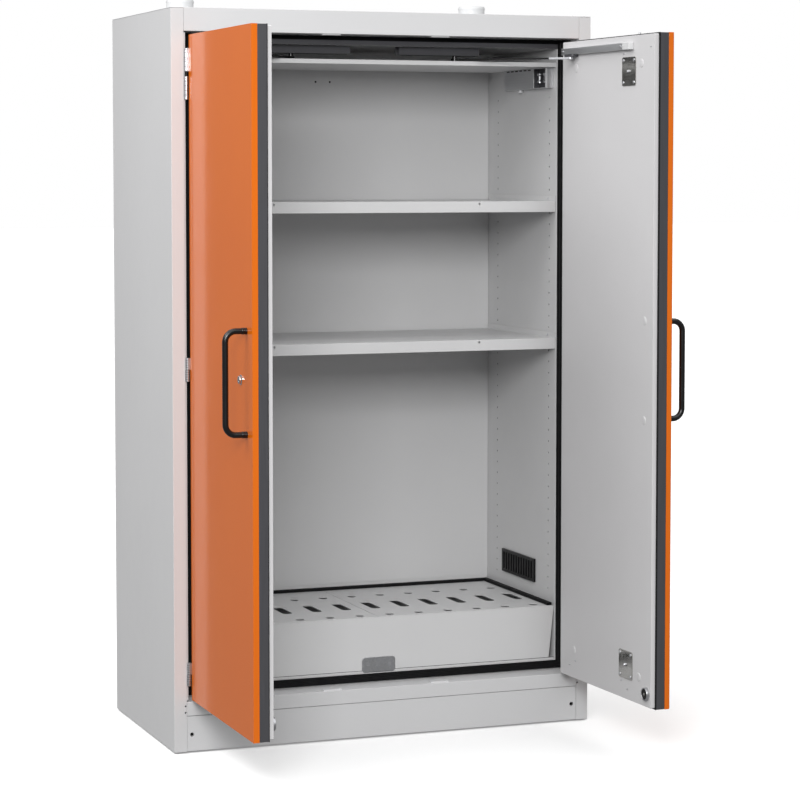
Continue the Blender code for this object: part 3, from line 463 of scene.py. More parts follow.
def anodised(name, *colours):
    """Silver-anodised extrusion: satin metal with the fine draw lines of its die."""
    metal = Finish(name, Metallic=1.0)
    lines = metal.streaks(DRAW_LINES, detail=3.0)
    metal.tint(lines, *colours)
    metal.gloss(lines, smooth=0.38, dull=0.50)
    metal.relief(lines, height=0.00004)
    return metal.material


def build_materials():
    """A finish for each slot: its name, two colours and what sets it apart."""
    return {
        "casing_paint": powder_coat(
            "light_grey_powder_coat", "CDCDCE", "C8C8C9", roughness=0.42, peel=0.0025, peel_height=0.00006),
        "interior_paint": powder_coat(
            "inner_grey_powder_coat", "CBCBCB", "C6C6C7", roughness=0.40, peel=0.0025, peel_height=0.00005),
        "board_face": melamine_board("grey_melamine_board", "CACACA", "C5C5C6"),
        "door_liner": melamine_board("grey_liner_board", "CBCACB", "C6C5C6"),
        "door_paint": powder_coat(
            "orange_gloss_powder_coat", "D66A0E", "D1640C",
            roughness=0.14, peel=0.003, peel_height=0.00002),
        "door_core": edge_film("anthracite_edge_foil", "3C3C3F", "424246"),
        "seal_rubber": foam_rubber("black_swelling_seal", "08080A", "0D0D0F"),
        "black_plastic": moulded_plastic(
            "black_moulded_plastic", "08080A", "0C0C0E", roughness=0.42, shine=0.25),
        "white_plastic": moulded_plastic(
            "white_moulded_plastic", "D2D3D4", "CBCCCD", roughness=0.38, shine=0.5),
        "handle_black": powder_coat(
            "black_powder_coat", "070708", "0A0A0C", roughness=0.24, peel=0.002, peel_height=0.00005),
        "zinc_steel": zinc_plate("zinc_plated_steel", "C3C4C6", "B3B4B8"),
        "magnet_steel": bright_steel("nickel_plated_steel", "C4C3BF", "B5B4B1", smooth=0.10, dull=0.20),
        "closer_silver": anodised("silver_anodised_aluminium", "D8D9DB", "CDCED0"),
        "lock_chrome": bright_steel("polished_chrome", "D8D9DB", "CDCED1", smooth=0.05, dull=0.12),
    }


MATERIALS = build_materials()
DRESSED = set()


def block(low, high):
    """A plain box between two corners."""
    low = Vector(low)
    high = Vector(high)
    bm = bmesh.new()
    size = Matrix.Diagonal((*(high - low), 1.0))
    bmesh.ops.create_cube(bm, size=1.0, matrix=Matrix.Translation((low + high) / 2) @ size)
    return bm


def rounded_box(low, high, radius):
    """A box between two corners with its edges rounded."""
    bm = block(low, high)
    round_edges(bm, bm.edges[:], radius, BOX_STEPS)
    return bm


def round_edges(bm, edges, radius, steps=EDGE_STEPS):
    """Round some edges of a shape."""
    bmesh.ops.bevel(
        bm, geom=edges, offset=radius, offset_type="OFFSET", affect="EDGES",
        segments=steps, profile=0.5, material=-1, clamp_overlap=True)


def edges_along(bm, axis):
    """The edges of a box that run along one axis."""
    return [edge for edge in bm.edges if abs((edge.verts[0].co - edge.verts[1].co)[axis]) > ALONG_AXIS]


def plate(low, high, axis, corner, rim):
    """A flat plate that is thin along one axis, with round corners and a softened rim."""
    bm = block(low, high)
    round_edges(bm, edges_along(bm, axis), corner, CORNER_STEPS)
    faces = [face for face in bm.faces if abs(face.normal[axis]) > FACING_AXIS]
    rims = {edge for face in faces for edge in face.edges}
    round_edges(bm, list(rims), rim)
    return bm


def lathe(outline, steps, closed=False):
    """Turn an outline of (radius, height) points about the Z axis."""
    bm = bmesh.new()
    points = [bm.verts.new((radius, 0.0, height)) for radius, height in outline]
    pairs = list(zip(points, points[1:])) + ([(points[-1], points[0])] if closed else [])
    edges = [bm.edges.new(pair) for pair in pairs]
    bmesh.ops.spin(
        bm, geom=points + edges, cent=(0.0, 0.0, 0.0), axis=UP,
        angle=math.tau, steps=steps, use_merge=True)
    bmesh.ops.remove_doubles(bm, verts=bm.verts[:], dist=MEETING)
    bmesh.ops.dissolve_degenerate(bm, edges=bm.edges[:], dist=VANISHING)
    return bm


def standing(centre, direction):
    """Places a shape made along Z at a point, pointing in a direction."""
    return Matrix.Translation(centre) @ UP.rotation_difference(direction).to_matrix().to_4x4()


def seated(shape, radius, height, centre, direction, steps=TURN_STEPS, closed=False):
    """A piece turned from an outline in shares of radius and height, standing at a point."""
    outline = [(share * radius, rise * height) for share, rise in shape]
    return moved(lathe(outline, steps, closed), standing(centre, direction))


def drill(centre, direction, radius, depth, steps=DRILL_STEPS):
    """A round tool for a hole of some depth to both sides of a point."""
    bm = bmesh.new()
    bmesh.ops.create_cone(
        bm, cap_ends=True, segments=steps, radius1=radius, radius2=radius,
        depth=2 * depth, matrix=standing(centre, direction))
    return bm


def screw(centre, direction, radius=SCREW_RADIUS, height=SCREW_HEIGHT):
    """A pan-head screw that sits at a point."""
    return seated(SCREW_SHAPE, radius, height, centre, direction, SCREW_STEPS)


def as_mesh(shape, name="scratch"):
    """The mesh of a shape, which is used up."""
    mesh = bpy.data.meshes.new(name)
    shape.to_mesh(mesh)
    shape.free()
    return mesh


def put_in_scene(name, data):
    """A new object in the scene."""
    holder = bpy.data.objects.new(name, data)
    bpy.context.scene.collection.objects.link(holder)
    return holder


def gather(*shapes):
    """Several shapes in one."""
    whole = bmesh.new()
    for shape in shapes:
        scratch = as_mesh(shape)
        whole.from_mesh(scratch)
        bpy.data.meshes.remove(scratch)
    return whole


def moved(shape, place):
    """A shape taken to its place."""
    bmesh.ops.transform(shape, matrix=place, verts=shape.verts[:])
    return shape


def cut(shape, *tools):
    """Take closed shapes out of another with Blender's Boolean."""
    scratch = []
    for part in (shape, gather(*tools)):
        bmesh.ops.recalc_face_normals(part, faces=part.faces[:])
        scratch.append(put_in_scene("scratch", as_mesh(part)))
    boolean = scratch[0].modifiers.new("cut", "BOOLEAN")
    boolean.operation = "DIFFERENCE"
    boolean.solver = "EXACT"
    boolean.object = scratch[1]
    bpy.context.view_layer.update()
    result = scratch[0].evaluated_get(bpy.context.evaluated_depsgraph_get())
    whole = bmesh.new()
    whole.from_mesh(result.to_mesh())
    result.to_mesh_clear()
    for holder in scratch:
        mesh = holder.data
        bpy.data.objects.remove(holder)
        bpy.data.meshes.remove(mesh)
    return whole


def rectangle_ring(loops, across):
    """A closed frame-shaped strip from rectangles (low, high, bottom, top, depth) across X or Y."""
    bm = bmesh.new()
    rings = []
    for low, high, bottom, top, depth in loops:
        verts = []
        for side, height in ((low, bottom), (high, bottom), (high, top), (low, top)):
            point = Vector((depth, depth, height))
            point[across] = side
            verts.append(bm.verts.new(point))
        rings.append([bm.edges.new(pair) for pair in zip(verts, verts[1:] + verts[:1])])
    for first, second in zip(rings, rings[1:] + rings[:1]):
        bmesh.ops.bridge_loops(bm, edges=first + second)
    return bm


def finish_piece(name, shape, slot, body="cabinet", place=None, replaces=()):
    """Make a named piece of a shape in its finish, and let it ride on its CAD body."""
    if place is not None:
        moved(shape, place)
    bmesh.ops.remove_doubles(shape, verts=shape.verts[:], dist=MEETING)
    bmesh.ops.recalc_face_normals(shape, faces=shape.faces[:])
    mesh = as_mesh(shape, name)
    mesh.shade_smooth()
    mesh.set_sharp_from_angle(angle=math.radians(SMOOTH_BELOW))
    mesh.materials.append(MATERIALS[slot])
    piece = put_in_scene(name, mesh)
    level = piece.modifiers.new("flat_faces", "WEIGHTED_NORMAL")
    level.keep_sharp = True
    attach(piece, body)
    if replaces:
        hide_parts(*replaces)
        DRESSED.update(replaces)


def merged_copy(node):
    """A CAD node's shape with its loose triangles joined to whole faces."""
    bm = bmesh.new()
    bm.from_mesh(NODES[node].data)
    bmesh.ops.remove_doubles(bm, verts=bm.verts[:], dist=CAD_MEETING)
    bmesh.ops.dissolve_limit(
        bm, angle_limit=math.radians(LEVEL_WITHIN), verts=bm.verts[:], edges=bm.edges[:],
        use_dissolve_boundaries=False)
    return bm


def sharp_edges(bm):
    """The edges at which faces meet in a clear angle."""
    limit = math.radians(SHARP_FROM)
    return [edge for edge in bm.edges if edge.is_manifold and edge.calc_face_angle() > limit]


def rounded_copy(node, radius):
    """A CAD node's shape with every sharp edge rounded."""
    bm = merged_copy(node)
    round_edges(bm, sharp_edges(bm), radius)
    return bm


def finish_copy(node, *tools, suffix="sheet", slot=None):
    """A rounded copy of a CAD node, with holes if it has any, in its own or another finish."""
    shape = rounded_copy(node, EDGE_RADII[SLOTS[node]])
    if tools:
        shape = cut(shape, *tools)
    finish_piece(f"{node}_{suffix}", shape, slot or SLOTS[node], NODES[node]["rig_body"], replaces=(node,))


def finish_screws(name, centres, direction, slot, radius=SCREW_RADIUS, height=SCREW_HEIGHT):
    """Screws on the cabinet that all face one way, as one piece."""
    screws = [screw(centre, direction, radius, height) for centre in centres]
    finish_piece(name, gather(*screws), slot)


class Door:
    """One door. Shapes are made as if it hung square on the right, then taken to its place."""

    def __init__(self, side_name):
        self.side = side_name
        self.body = f"{side_name}_door"
        self.liner = f"{self.body}_liner"
        self.core = f"{self.body}_core"
        side = SIDES[side_name]
        joint = JOINTS[f"{side_name}_door_swing"]
        past_square = math.radians(joint["range_deg"][1] - SQUARE)
        hinge = Matrix.Translation(joint["pos_m"])
        turn = hinge @ Matrix.Rotation(side * past_square, 4, "Z") @ hinge.inverted()
        self.place = turn @ Matrix.Diagonal((side, 1.0, 1.0, 1.0))

    def box(self, node):
        """Corners of a CAD node on the door."""
        back = self.place.inverted()
        points = [back @ vert.co for vert in NODES[node].data.vertices]
        low = Vector([min(point[axis] for point in points) for axis in range(3)])
        high = Vector([max(point[axis] for point in points) for axis in range(3)])
        return low, high

    def finish(self, name, shape, slot, replaces=()):
        """Make a named piece that rides on the door."""
        finish_piece(f"{self.side}_{name}", shape, slot, self.body, self.place, replaces)


def build_walls():
    """Inner walls with their shelf holes, and dark sleeves in the holes as painted shade."""
    rows = int((HOLE_TOP - HOLE_BOTTOM) / HOLE_PITCH) + 1
    sleeves = []
    for side_name, side in SIDES.items():
        node = f"{side_name}_wall_board"
        low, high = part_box(node)
        face = low.x if side > 0 else high.x
        places = [(face, y, HOLE_TOP - row * HOLE_PITCH) for y in HOLE_COLUMNS for row in range(rows)]
        drill_wall(node, places, RIGHT)
        sleeves += [hole_shade_cup(place, side * RIGHT) for place in places]
    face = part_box("rear_wall_board")[0].y
    places = [(x, face, z) for x, z in REAR_HOLES]
    drill_wall("rear_wall_board", places, BACK)
    sleeves += [hole_shade_cup(place, BACK) for place in places]
    finish_piece("wall_hole_sleeves", gather(*sleeves), "black_plastic")


def drill_wall(node, places, direction):
    """A wall board with a hole at each place."""
    drills = [drill(place, direction, HOLE_RADIUS, HOLE_DEPTH) for place in places]
    finish_copy(node, *drills, suffix="drilled")


def hole_shade_cup(place, inwards):
    """A dark cup that lines a drilled hole: painted shade inside it."""
    seat = Vector(place) + HOLE_SLEEVE_DEPTH * inwards
    return seated(HOLE_SLEEVE_SHAPE, HOLE_RADIUS, HOLE_DEPTH, seat, inwards, HOLE_SLEEVE_STEPS)


def build_side_casings():
    """Side casings with notches at the feet of the stiles, and a lip behind each stile's front."""
    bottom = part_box("sill")[1].z
    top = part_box("top_casing")[0].z
    for side_name, side in SIDES.items():
        node = f"{side_name}_side_casing"
        low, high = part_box(node)
        notches = []
        for z in STILE_NOTCHES[side_name]:
            notches.append(drill((side * STILE_NOTCH_X, low.y, z), BACK, STILE_NOTCH_RADIUS, HOLE_DEPTH))
        finish_copy(node, *notches)
        edge = low.x if side > 0 else high.x
        left, right = sorted((edge, edge - side * STILE_LIP))
        front = low.y + STILE_LIP_BACK
        lip = rounded_box(
            (left, front, bottom), (right, front + STILE_LIP, top), EDGE_RADII["casing_paint"])
        finish_piece(f"{side_name}_stile_lip", lip, "casing_paint")


def build_plinth():
    """The plinth cover with a sunk screw near each end."""
    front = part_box("plinth_cover")[0].y
    x, z = PLINTH_SCREW
    ends = [side * x for side in SIDES.values()]
    recesses = [drill((end, front, z), BACK, PLINTH_RECESS, HOLE_DEPTH, RECESS_STEPS) for end in ends]
    finish_copy("plinth_cover", *recesses)
    seats = [(end, front + 2 * SCREW_HEIGHT, z) for end in ends]
    finish_screws("plinth_screws", seats, -BACK, "handle_black")


def build_casing_screws():
    """Screws at the front of the roof and along the rear casing's edges."""
    low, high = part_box("top_casing")
    seats = [(side * x, low.y + SCREW_INSET, high.z) for side in SIDES.values() for x in ROOF_SCREW_X]
    finish_screws("roof_screws", seats, UP, "casing_paint", SMALL_SCREW)

    low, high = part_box("rear_casing")
    seats = []
    for row in range(REAR_SCREW_ROWS):
        share = row / (REAR_SCREW_ROWS - 1)
        z = low.z + SCREW_INSET + share * (high.z - low.z - 2 * SCREW_INSET)
        seats += [(x, high.y, z) for x in (low.x + SCREW_INSET, high.x - SCREW_INSET)]
    finish_screws("rear_casing_screws", seats, BACK, "casing_paint", SMALL_SCREW)


def build_frame_seal():
    """The ribbed seal round the rebate, and a dark strip on the edge of the recess as painted shade."""
    low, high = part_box("frame_seal")
    outer = (low.x, high.x, low.z, high.z)
    inner = (low.x + SEAL_SIDE, high.x - SEAL_SIDE, low.z + SEAL_BOTTOM, high.z - SEAL_TOP)
    loops = [(*outer, high.y)]
    for step in range(2 * SEAL_RIBS + 1):
        share = step / (2 * SEAL_RIBS)
        rectangle = [start + (end - start) * share for start, end in zip(outer, inner)]
        loops.append((*rectangle, low.y + SEAL_GROOVE * (step % 2)))
    loops.append((*inner, high.y))
    seal = rectangle_ring(loops, 0)
    finish_piece("frame_seal_ribbed", seal, "seal_rubber", replaces=("frame_seal",))
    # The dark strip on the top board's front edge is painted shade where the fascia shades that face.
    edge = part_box("top_board")[0]
    left, right, _, top = inner
    shade_strip = rounded_box((left, edge.y - RECESS_SHADE_STRIP, edge.z), (right, edge.y, top), RECESS_SHADE_STRIP / 3)
    finish_piece("recess_edge_trim", shade_strip, "door_core")


def build_sump_insert():
    """The insert's two slotted panels and the rubber strip along its wall edges."""
    low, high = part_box("sump_insert")
    past = Vector((0.0, HOLE_DEPTH, HOLE_DEPTH))
    gap = PANEL_JOINT / 2
    tools = [block(Vector((-gap, low.y, low.z)) - past, Vector((gap, high.y, high.z)) + past)]
    pitch = (high.x - low.x) / SLOT_COLUMNS
    for column in range(SLOT_COLUMNS):
        x = low.x + (column + 0.5) * pitch
        for from_front, width, length in SLOT_ROWS:
            tools.append(round_slot((x, low.y + from_front, low.z), width, length))
    finish_copy("sump_insert", *tools, suffix="panels")

    bottom = low.z + INSERT_SHEET
    top = bottom + STRIP_HEIGHT
    rear = high.y - INSERT_SHEET
    strips = [rounded_box((low.x, rear - STRIP_WIDTH, bottom), (high.x, rear, top), STRIP_ROUNDING)]
    for x in (low.x, high.x - STRIP_WIDTH):
        strips.append(rounded_box((x, low.y, bottom), (x + STRIP_WIDTH, rear, top), STRIP_ROUNDING))
    finish_piece("sump_edge_strip", gather(*strips), "seal_rubber", "sump_insert")


def round_slot(centre, width, length):
    """A tool for a long hole through a lying sheet."""
    half = Vector((width / 2, length / 2, HOLE_DEPTH))
    bm = block(Vector(centre) - half, Vector(centre) + half)
    round_edges(bm, edges_along(bm, 2), SLOT_ROUND * width, SLOT_STEPS)
    return bm


def build_sump_foot():
    """The rail at the sump's foot, with a black line above it as a painted shadow."""
    low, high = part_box("sump_tray")
    depth, height = FOOT_RAIL
    top = low.z + height
    rail = rounded_box((low.x, low.y - depth, low.z), (high.x, low.y, top), FOOT_GAP / 2)
    finish_piece("sump_foot_rail", rail, "interior_paint")
    # A black line above the rail: a painted shadow gap.
    shadow_line = rounded_box((low.x, low.y - FOOT_GAP / 2, top), (high.x, low.y, top + FOOT_GAP), FOOT_GAP / 4)
    finish_piece("sump_foot_gap", shadow_line, "black_plastic")


def build_shelves():
    """Shelves with holes in their front lips and screws in their upstands."""
    for level in ("lower", "upper"):
        node = f"{level}_shelf"
        low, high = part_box(node)
        z = high.z - SHELF_UPSTAND - SHELF_HOLE_DROP
        places = [(side * SHELF_HOLE_X, low.y, z) for side in SIDES.values()]
        finish_copy(node, *[drill(place, BACK, HOLE_RADIUS, HOLE_DEPTH / 2) for place in places])
        screws = []
        for x, inwards in ((low.x + SHELF_SHEET, RIGHT), (high.x - SHELF_SHEET, -RIGHT)):
            screws.append(screw((x, HOLE_COLUMNS[0], high.z - SHELF_UPSTAND / 2), inwards, SMALL_SCREW))
        finish_piece(f"{node}_screws", gather(*screws), "zinc_steel", node)


def build_keeper():
    """The keeper plate with round corners and two flat screws."""
    low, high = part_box("keeper_plate")
    shape = plate(low, high, 1, KEEPER_CORNER, PLATE_RIM)
    finish_piece("keeper_plate_rounded", shape, "zinc_steel", replaces=("keeper_plate",))
    seats = [(side * KEEPER_SCREW_X, low.y, (low.z + high.z) / 2) for side in SIDES.values()]
    finish_screws("keeper_screws", seats, -BACK, "zinc_steel", height=KEEPER_SCREW_HEIGHT)


def spigot_outline(flange, bottom, floor, top):
    """Outline of a tube with a flange on the roof and a bead under its rim."""
    inner = SPIGOT_RADIUS - SPIGOT_WALL
    bead = SPIGOT_RADIUS + SPIGOT_BEAD
    return [
        (inner, bottom), (SPIGOT_RADIUS, bottom),
        (SPIGOT_RADIUS, floor), (flange - SPIGOT_BEAD, floor),
        (flange, floor + SPIGOT_FLANGE / 2),
        (flange - SPIGOT_BEAD, floor + SPIGOT_FLANGE), (bead, floor + SPIGOT_FLANGE),
        (SPIGOT_RADIUS, floor + 2 * SPIGOT_FLANGE),
        (SPIGOT_RADIUS, top - 2 * SPIGOT_BEAD_HEIGHT),
        (bead, top - 1.5 * SPIGOT_BEAD_HEIGHT), (bead, top - SPIGOT_BEAD_HEIGHT),
        (SPIGOT_RADIUS, top - SPIGOT_BEAD_HEIGHT / 2),
        (SPIGOT_RADIUS - SPIGOT_WALL / 4, top), (inner, top),
    ]


def build_spigots():
    """Duct spigots with a beaded rim, a screwed flange and the damper disc inside."""
    for duct in ("exhaust", "supply"):
        node = f"{duct}_spigot"
        low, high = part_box(node)
        x = (low.x + high.x) / 2
        y = (low.y + high.y) / 2
        flange = (high.x - low.x) / 2
        floor = high.z - SPIGOT_RISE
        tube = lathe(spigot_outline(flange, low.z, floor, high.z), SPIGOT_STEPS, True)
        moved(tube, Matrix.Translation((x, y, 0.0)))
        finish_piece(f"{node}_turned", tube, "white_plastic", replaces=(node,))
        middle = (flange + SPIGOT_RADIUS) / 2
        angles = [math.tau * (turn + 0.5) / SPIGOT_SCREWS for turn in range(SPIGOT_SCREWS)]
        z = floor + SPIGOT_FLANGE
        seats = [(x + middle * math.cos(angle), y + middle * math.sin(angle), z) for angle in angles]
        finish_screws(f"{node}_screws", seats, UP, "zinc_steel", SMALL_SCREW)
        radius = SPIGOT_RADIUS - SPIGOT_WALL - SPIGOT_BEAD
        seat = (x, y, floor + DAMPER_DEPTH)
        disc = seated(DAMPER_SHAPE, radius, DAMPER_THICKNESS, seat, UP, DISC_STEPS)
        finish_piece(f"{duct}_damper", disc, "zinc_steel")


def build_grilles():
    """Slotted grilles, with a dark gauze behind the slots."""
    for side_name, side in SIDES.items():
        node = f"{side_name}_vent_grille"
        finish_copy(node, suffix="moulded")
        low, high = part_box(node)
        wall = high.x if side > 0 else low.x
        low.x, high.x = sorted((wall, wall - side * GAUZE_THICKNESS))
        rim = Vector((0.0, GAUZE_INSET, GAUZE_INSET))
        gauze = rounded_box(low + rim, high - rim, GAUZE_THICKNESS / 3)
        finish_piece(f"{side_name}_grille_gauze", gauze, "black_plastic")


def release_box():
    """Corners of the release unit's flat housing."""
    low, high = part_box("release_unit")
    low.x = high.x - RELEASE_DEPTH
    low.y -= RELEASE_FORWARD
    low.z = RELEASE_BOTTOM
    high.y = low.y + RELEASE_LENGTH
    return low, high


def build_release_housing():
    """The door release's housing, open at its front end, with a dark lining in the opening as painted
    shade.
    """
    low, high = release_box()
    sheet = RELEASE_SHEET
    mouth_end = Vector((high.x - sheet, low.y + RELEASE_MOUTH, high.z - sheet))
    mouth = block((low.x - sheet, low.y + sheet, low.z + sheet), mouth_end)
    housing = cut(block(low, high), mouth)
    round_edges(housing, housing.edges[:], RELEASE_ROUNDING)
    finish_piece("release_housing", housing, "closer_silver", replaces=("release_unit",))
    # The dark lining is painted shade in the opening.
    lining = block((low.x + sheet / 2, low.y + sheet, low.z + sheet), mouth_end)
    hollow_start = (low.x - sheet, low.y + 2 * sheet, low.z + 2 * sheet)
    lining = cut(lining, block(hollow_start, mouth_end - Vector((sheet, sheet, sheet))))
    round_edges(lining, lining.edges[:], RELEASE_ROUNDING / 2)
    finish_piece("release_lining", lining, "door_core")


def build_release_fittings():
    """Rollers in the release unit's opening, its corner flange, vents and knob; the vents are black patches
    of painted shade, and the white of the knob and partly of the flange is a painted highlight.
    """
    low, high = release_box()
    middle = high.x - RELEASE_DEPTH / 2
    rollers = []
    for along in ROLLER_PLACES:
        seat = (middle, low.y + along, (low.z + high.z - ROLLER_LENGTH) / 2)
        rollers.append(seated(ROLLER_SHAPE, ROLLER_RADIUS, ROLLER_LENGTH, seat, UP, ROLLER_STEPS))
    finish_piece("release_rollers", gather(*rollers), "zinc_steel")

    front = low.x - PLATE_RIM
    back = low.x + PLATE_RIM
    corner = (back, low.y + RELEASE_FLANGE, high.z)
    # The flange's white is partly its own light finish and partly a painted highlight on its edge.
    flange = rounded_box((front, low.y - PLATE_RIM, low.z), corner, PLATE_RIM / 2)
    finish_piece("release_flange", flange, "white_plastic")

    length, height = RELEASE_VENT
    # The vents are black patches on the housing: painted shade of slot openings.
    vents = []
    for vent in range(RELEASE_VENTS):
        y = low.y + RELEASE_VENT_START + vent * RELEASE_VENT_PITCH
        corner = (back, y + length, high.z - height / 2)
        vents.append(rounded_box((front, y, high.z - 1.5 * height), corner, PLATE_RIM / 2))
    finish_piece("release_vents", gather(*vents), "black_plastic")
    # The knob's white is a painted highlight.
    knob = seated(KNOB_SHAPE, *RELEASE_KNOB, (middle, low.y + RELEASE_KNOB_PLACE, low.z), -UP)
    finish_piece("release_knob", knob, "white_plastic")


def build_closer_guides():
    """Slide rails of the closer arms in the recess, in the dark edge-foil finish as painted shade."""
    for side_name in SIDES:
        # The rails' dark finish is painted shade of the recess.
        finish_copy(f"{side_name}_closer_guide", suffix="rail", slot="door_core")


def build_hinges():
    """Dark lines round the knuckles and a dark sleeve on each pin, painted shade of the ridges and of the
    gap between knuckles.
    """
    for side_name in SIDES:
        x, y, _ = JOINTS[f"{side_name}_door_swing"]["pos_m"]
        for level in ("top", "middle", "bottom"):
            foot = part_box(f"{side_name}_{level}_frame_hinge")[0].z
            low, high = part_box(f"{side_name}_{level}_door_hinge")
            half = high.z - low.z
            rings = []
            # The dark rings and the pin sleeve are painted shade.
            for start in (foot, low.z):
                for ring in range(1, KNUCKLE_RINGS + 1):
                    bottom = start + half * ring / (KNUCKLE_RINGS + 1) - KNUCKLE_LINE / 2
                    rings.append(hinge_ring(KNUCKLE_RADIUS, bottom, bottom + KNUCKLE_LINE))
            rings.append(hinge_ring(PIN_SLEEVE_RADIUS, foot + half, low.z))
            shape = moved(gather(*rings), Matrix.Translation((x, y, 0.0)))
            finish_piece(f"{side_name}_{level}_hinge_shade_lines", shape, "black_plastic")


def hinge_ring(radius, bottom, top):
    """A short tube round the Z axis."""
    inner = radius - HINGE_RING_WALL
    return lathe([(inner, bottom), (radius, bottom), (radius, top), (inner, top)], HINGE_STEPS, True)


def build_skin(door):
    """The painted skin: soft folds round its outer face, crisp edges elsewhere."""
    node = f"{door.body}_skin"
    bm = moved(merged_copy(node), door.place.inverted())
    outer = max(vert.co.x for vert in bm.verts) - FOLD_RADIUS / 10
    folds = [
        edge for edge in bm.edges
        if min(vert.co.x for vert in edge.verts) > outer and edge.calc_length() > FOLD_LENGTH]
    round_edges(bm, folds, FOLD_RADIUS, FOLD_STEPS)
    round_edges(bm, sharp_edges(bm), EDGE_RADII["door_paint"])
    door.finish("door_skin_folded", bm, "door_paint", replaces=(node,))


def liner_box(door):
    """Corners of a door's liner, which stands back from the hinges."""
    low, high = door.box(door.liner)
    high.y -= LINER_SET_BACK
    high.z += LINER_RISE
    low.z -= LINER_RISE
    return low, high


def build_liner(door):
    """The flat liner inside a door."""
    shape = plate(*liner_box(door), 0, LINER_CORNER, EDGE_RADII["door_liner"])
    door.finish("door_liner_panel", shape, "door_liner", replaces=(door.liner,))


def build_gasket(door):
    """The black gasket on the edge of the fire core, round the liner."""
    core_low, core_high = door.box(door.core)
    low, high = liner_box(door)
    proud = GASKET_PROUD
    outer = (core_low.y - proud, core_high.y + proud, core_low.z - proud, core_high.z + proud)
    inner = (low.y, high.y, low.z, high.z)
    seat = core_low.x
    lip = seat - GASKET_WIDTH
    loops = [(*outer, seat + GASKET_WRAP), (*outer, lip), (*inner, lip), (*inner, seat)]
    door.finish("door_gasket", rectangle_ring(loops, 1), "seal_rubber")


def build_latches(door):
    """Bright latch plates with corner screws and a centre pin."""
    face = door.box(door.liner)[0].x
    front = face - LATCH_THICKNESS
    y = HINGE_Y - LATCH_ALONG
    half = LATCH_PLATE / 2
    offset = half - LATCH_SCREW_INSET
    offsets = (-offset, offset)
    plates = []
    bright = []
    for z in LATCH_HEIGHTS:
        low = (front, y - half, z - half)
        plates.append(plate(low, (face, y + half, z + half), 0, LATCH_CORNER, PLATE_RIM))
        bright += [screw((front, y + across, z + up), -RIGHT) for across in offsets for up in offsets]
        bright.append(seated(PIVOT_SHAPE, *LATCH_PIN, (front, y, z), -RIGHT))
    door.finish("latch_plates", gather(*plates), "magnet_steel")
    door.finish("latch_screws", gather(*bright), "zinc_steel")


def build_caps(door):
    """Cap plugs and small screws in a door's liner, and the pin on top of the door."""
    face = door.box(door.liner)[0].x
    caps = [seated(CAP_SHAPE, *CAP, (face, HINGE_Y - along, z), -RIGHT) for along, z in CAP_PLACES]
    door.finish("door_caps", gather(*caps), "door_liner")
    screws = [screw((face, HINGE_Y - along, z), -RIGHT, LINER_SCREW) for along, z in LINER_SCREWS]
    door.finish("liner_screws", gather(*screws), "zinc_steel")
    low, high = door.box(door.core)
    seat = ((low.x + face) / 2, HINGE_Y - TOP_PIN_ALONG, high.z)
    door.finish("door_top_pin", seated(PIVOT_SHAPE, *TOP_PIN, seat, UP), "zinc_steel")


def build_magnet(door):
    """The pot magnet: zinc-plated pot, dark face and bright stud."""
    node = f"{door.body}_magnet"
    low, high = door.box(node)
    size = ((high.z - low.z) / 2, high.x - low.x + POT_PROUD)
    seat = (high.x, (low.y + high.y) / 2, (low.z + high.z) / 2)
    pot = seated(POT_SHAPE, *size, seat, -RIGHT, DISC_STEPS)
    door.finish("magnet_pot", pot, "zinc_steel", replaces=(node,))
    door.finish("magnet_face", seated(POT_FACE, *size, seat, -RIGHT, DISC_STEPS, True), "black_plastic")
    door.finish("magnet_stud", seated(POT_STUD, *size, seat, -RIGHT), "magnet_steel")


def build_closer(door):
    """The closer's extruded bar with its painted end block and screws."""
    node = f"{door.body}_closer"
    low, high = door.box(node)
    low += Vector((high.x - low.x - CLOSER_DEPTH, CLOSER_SHORTER, CLOSER_TRIM_BELOW))
    high.z -= CLOSER_TRIM_ABOVE
    joint = low.y + CLOSER_END
    bar = rounded_box((low.x, joint, low.z), high, CLOSER_ROUNDING)
    door.finish("closer_bar", bar, "closer_silver", replaces=(node,))
    proud = Vector((CLOSER_END_PROUD, 0.0, CLOSER_END_PROUD))
    end_high = Vector((high.x - CLOSER_END_PROUD, joint, high.z))
    end = rounded_box(low - proud, end_high + proud, CLOSER_ROUNDING)
    door.finish("closer_end", end, "casing_paint")
    z = (low.z + high.z) / 2
    ends = (joint + CLOSER_SCREW_INSET, high.y - CLOSER_SCREW_INSET)
    screws = [screw((low.x, y, z), -RIGHT, SMALL_SCREW) for y in ends]
    door.finish("closer_screws", gather(*screws), "zinc_steel")
    build_arm_pivot(door, high.x, low.z)


def build_arm_pivot(door, back, closer_bottom):
    """The dark bracket that holds the arm under its closer, and the pin of the arm."""
    arm = f"{door.side}_arm"
    pivot = Vector(JOINTS[f"{arm}_pivot"]["pos_m"])
    seat = door.place.inverted() @ pivot
    arm_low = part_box(f"{door.side}_closer_arm")[0].z
    arm_top = 2 * pivot.z - arm_low
    bracket = plate(
        (seat.x - BRACKET_DEPTH / 2, seat.y - BRACKET_HALF, arm_top + PLATE_RIM),
        (back, seat.y + BRACKET_HALF, closer_bottom + PLATE_RIM), 2, BRACKET_DEPTH / 3, PLATE_RIM)
    door.finish("closer_bracket", bracket, "door_core")
    pin = seated(PIVOT_SHAPE, *PIVOT, (*pivot.xy, arm_low), -UP)
    finish_piece(f"{arm}_pin", pin, "magnet_steel", arm)


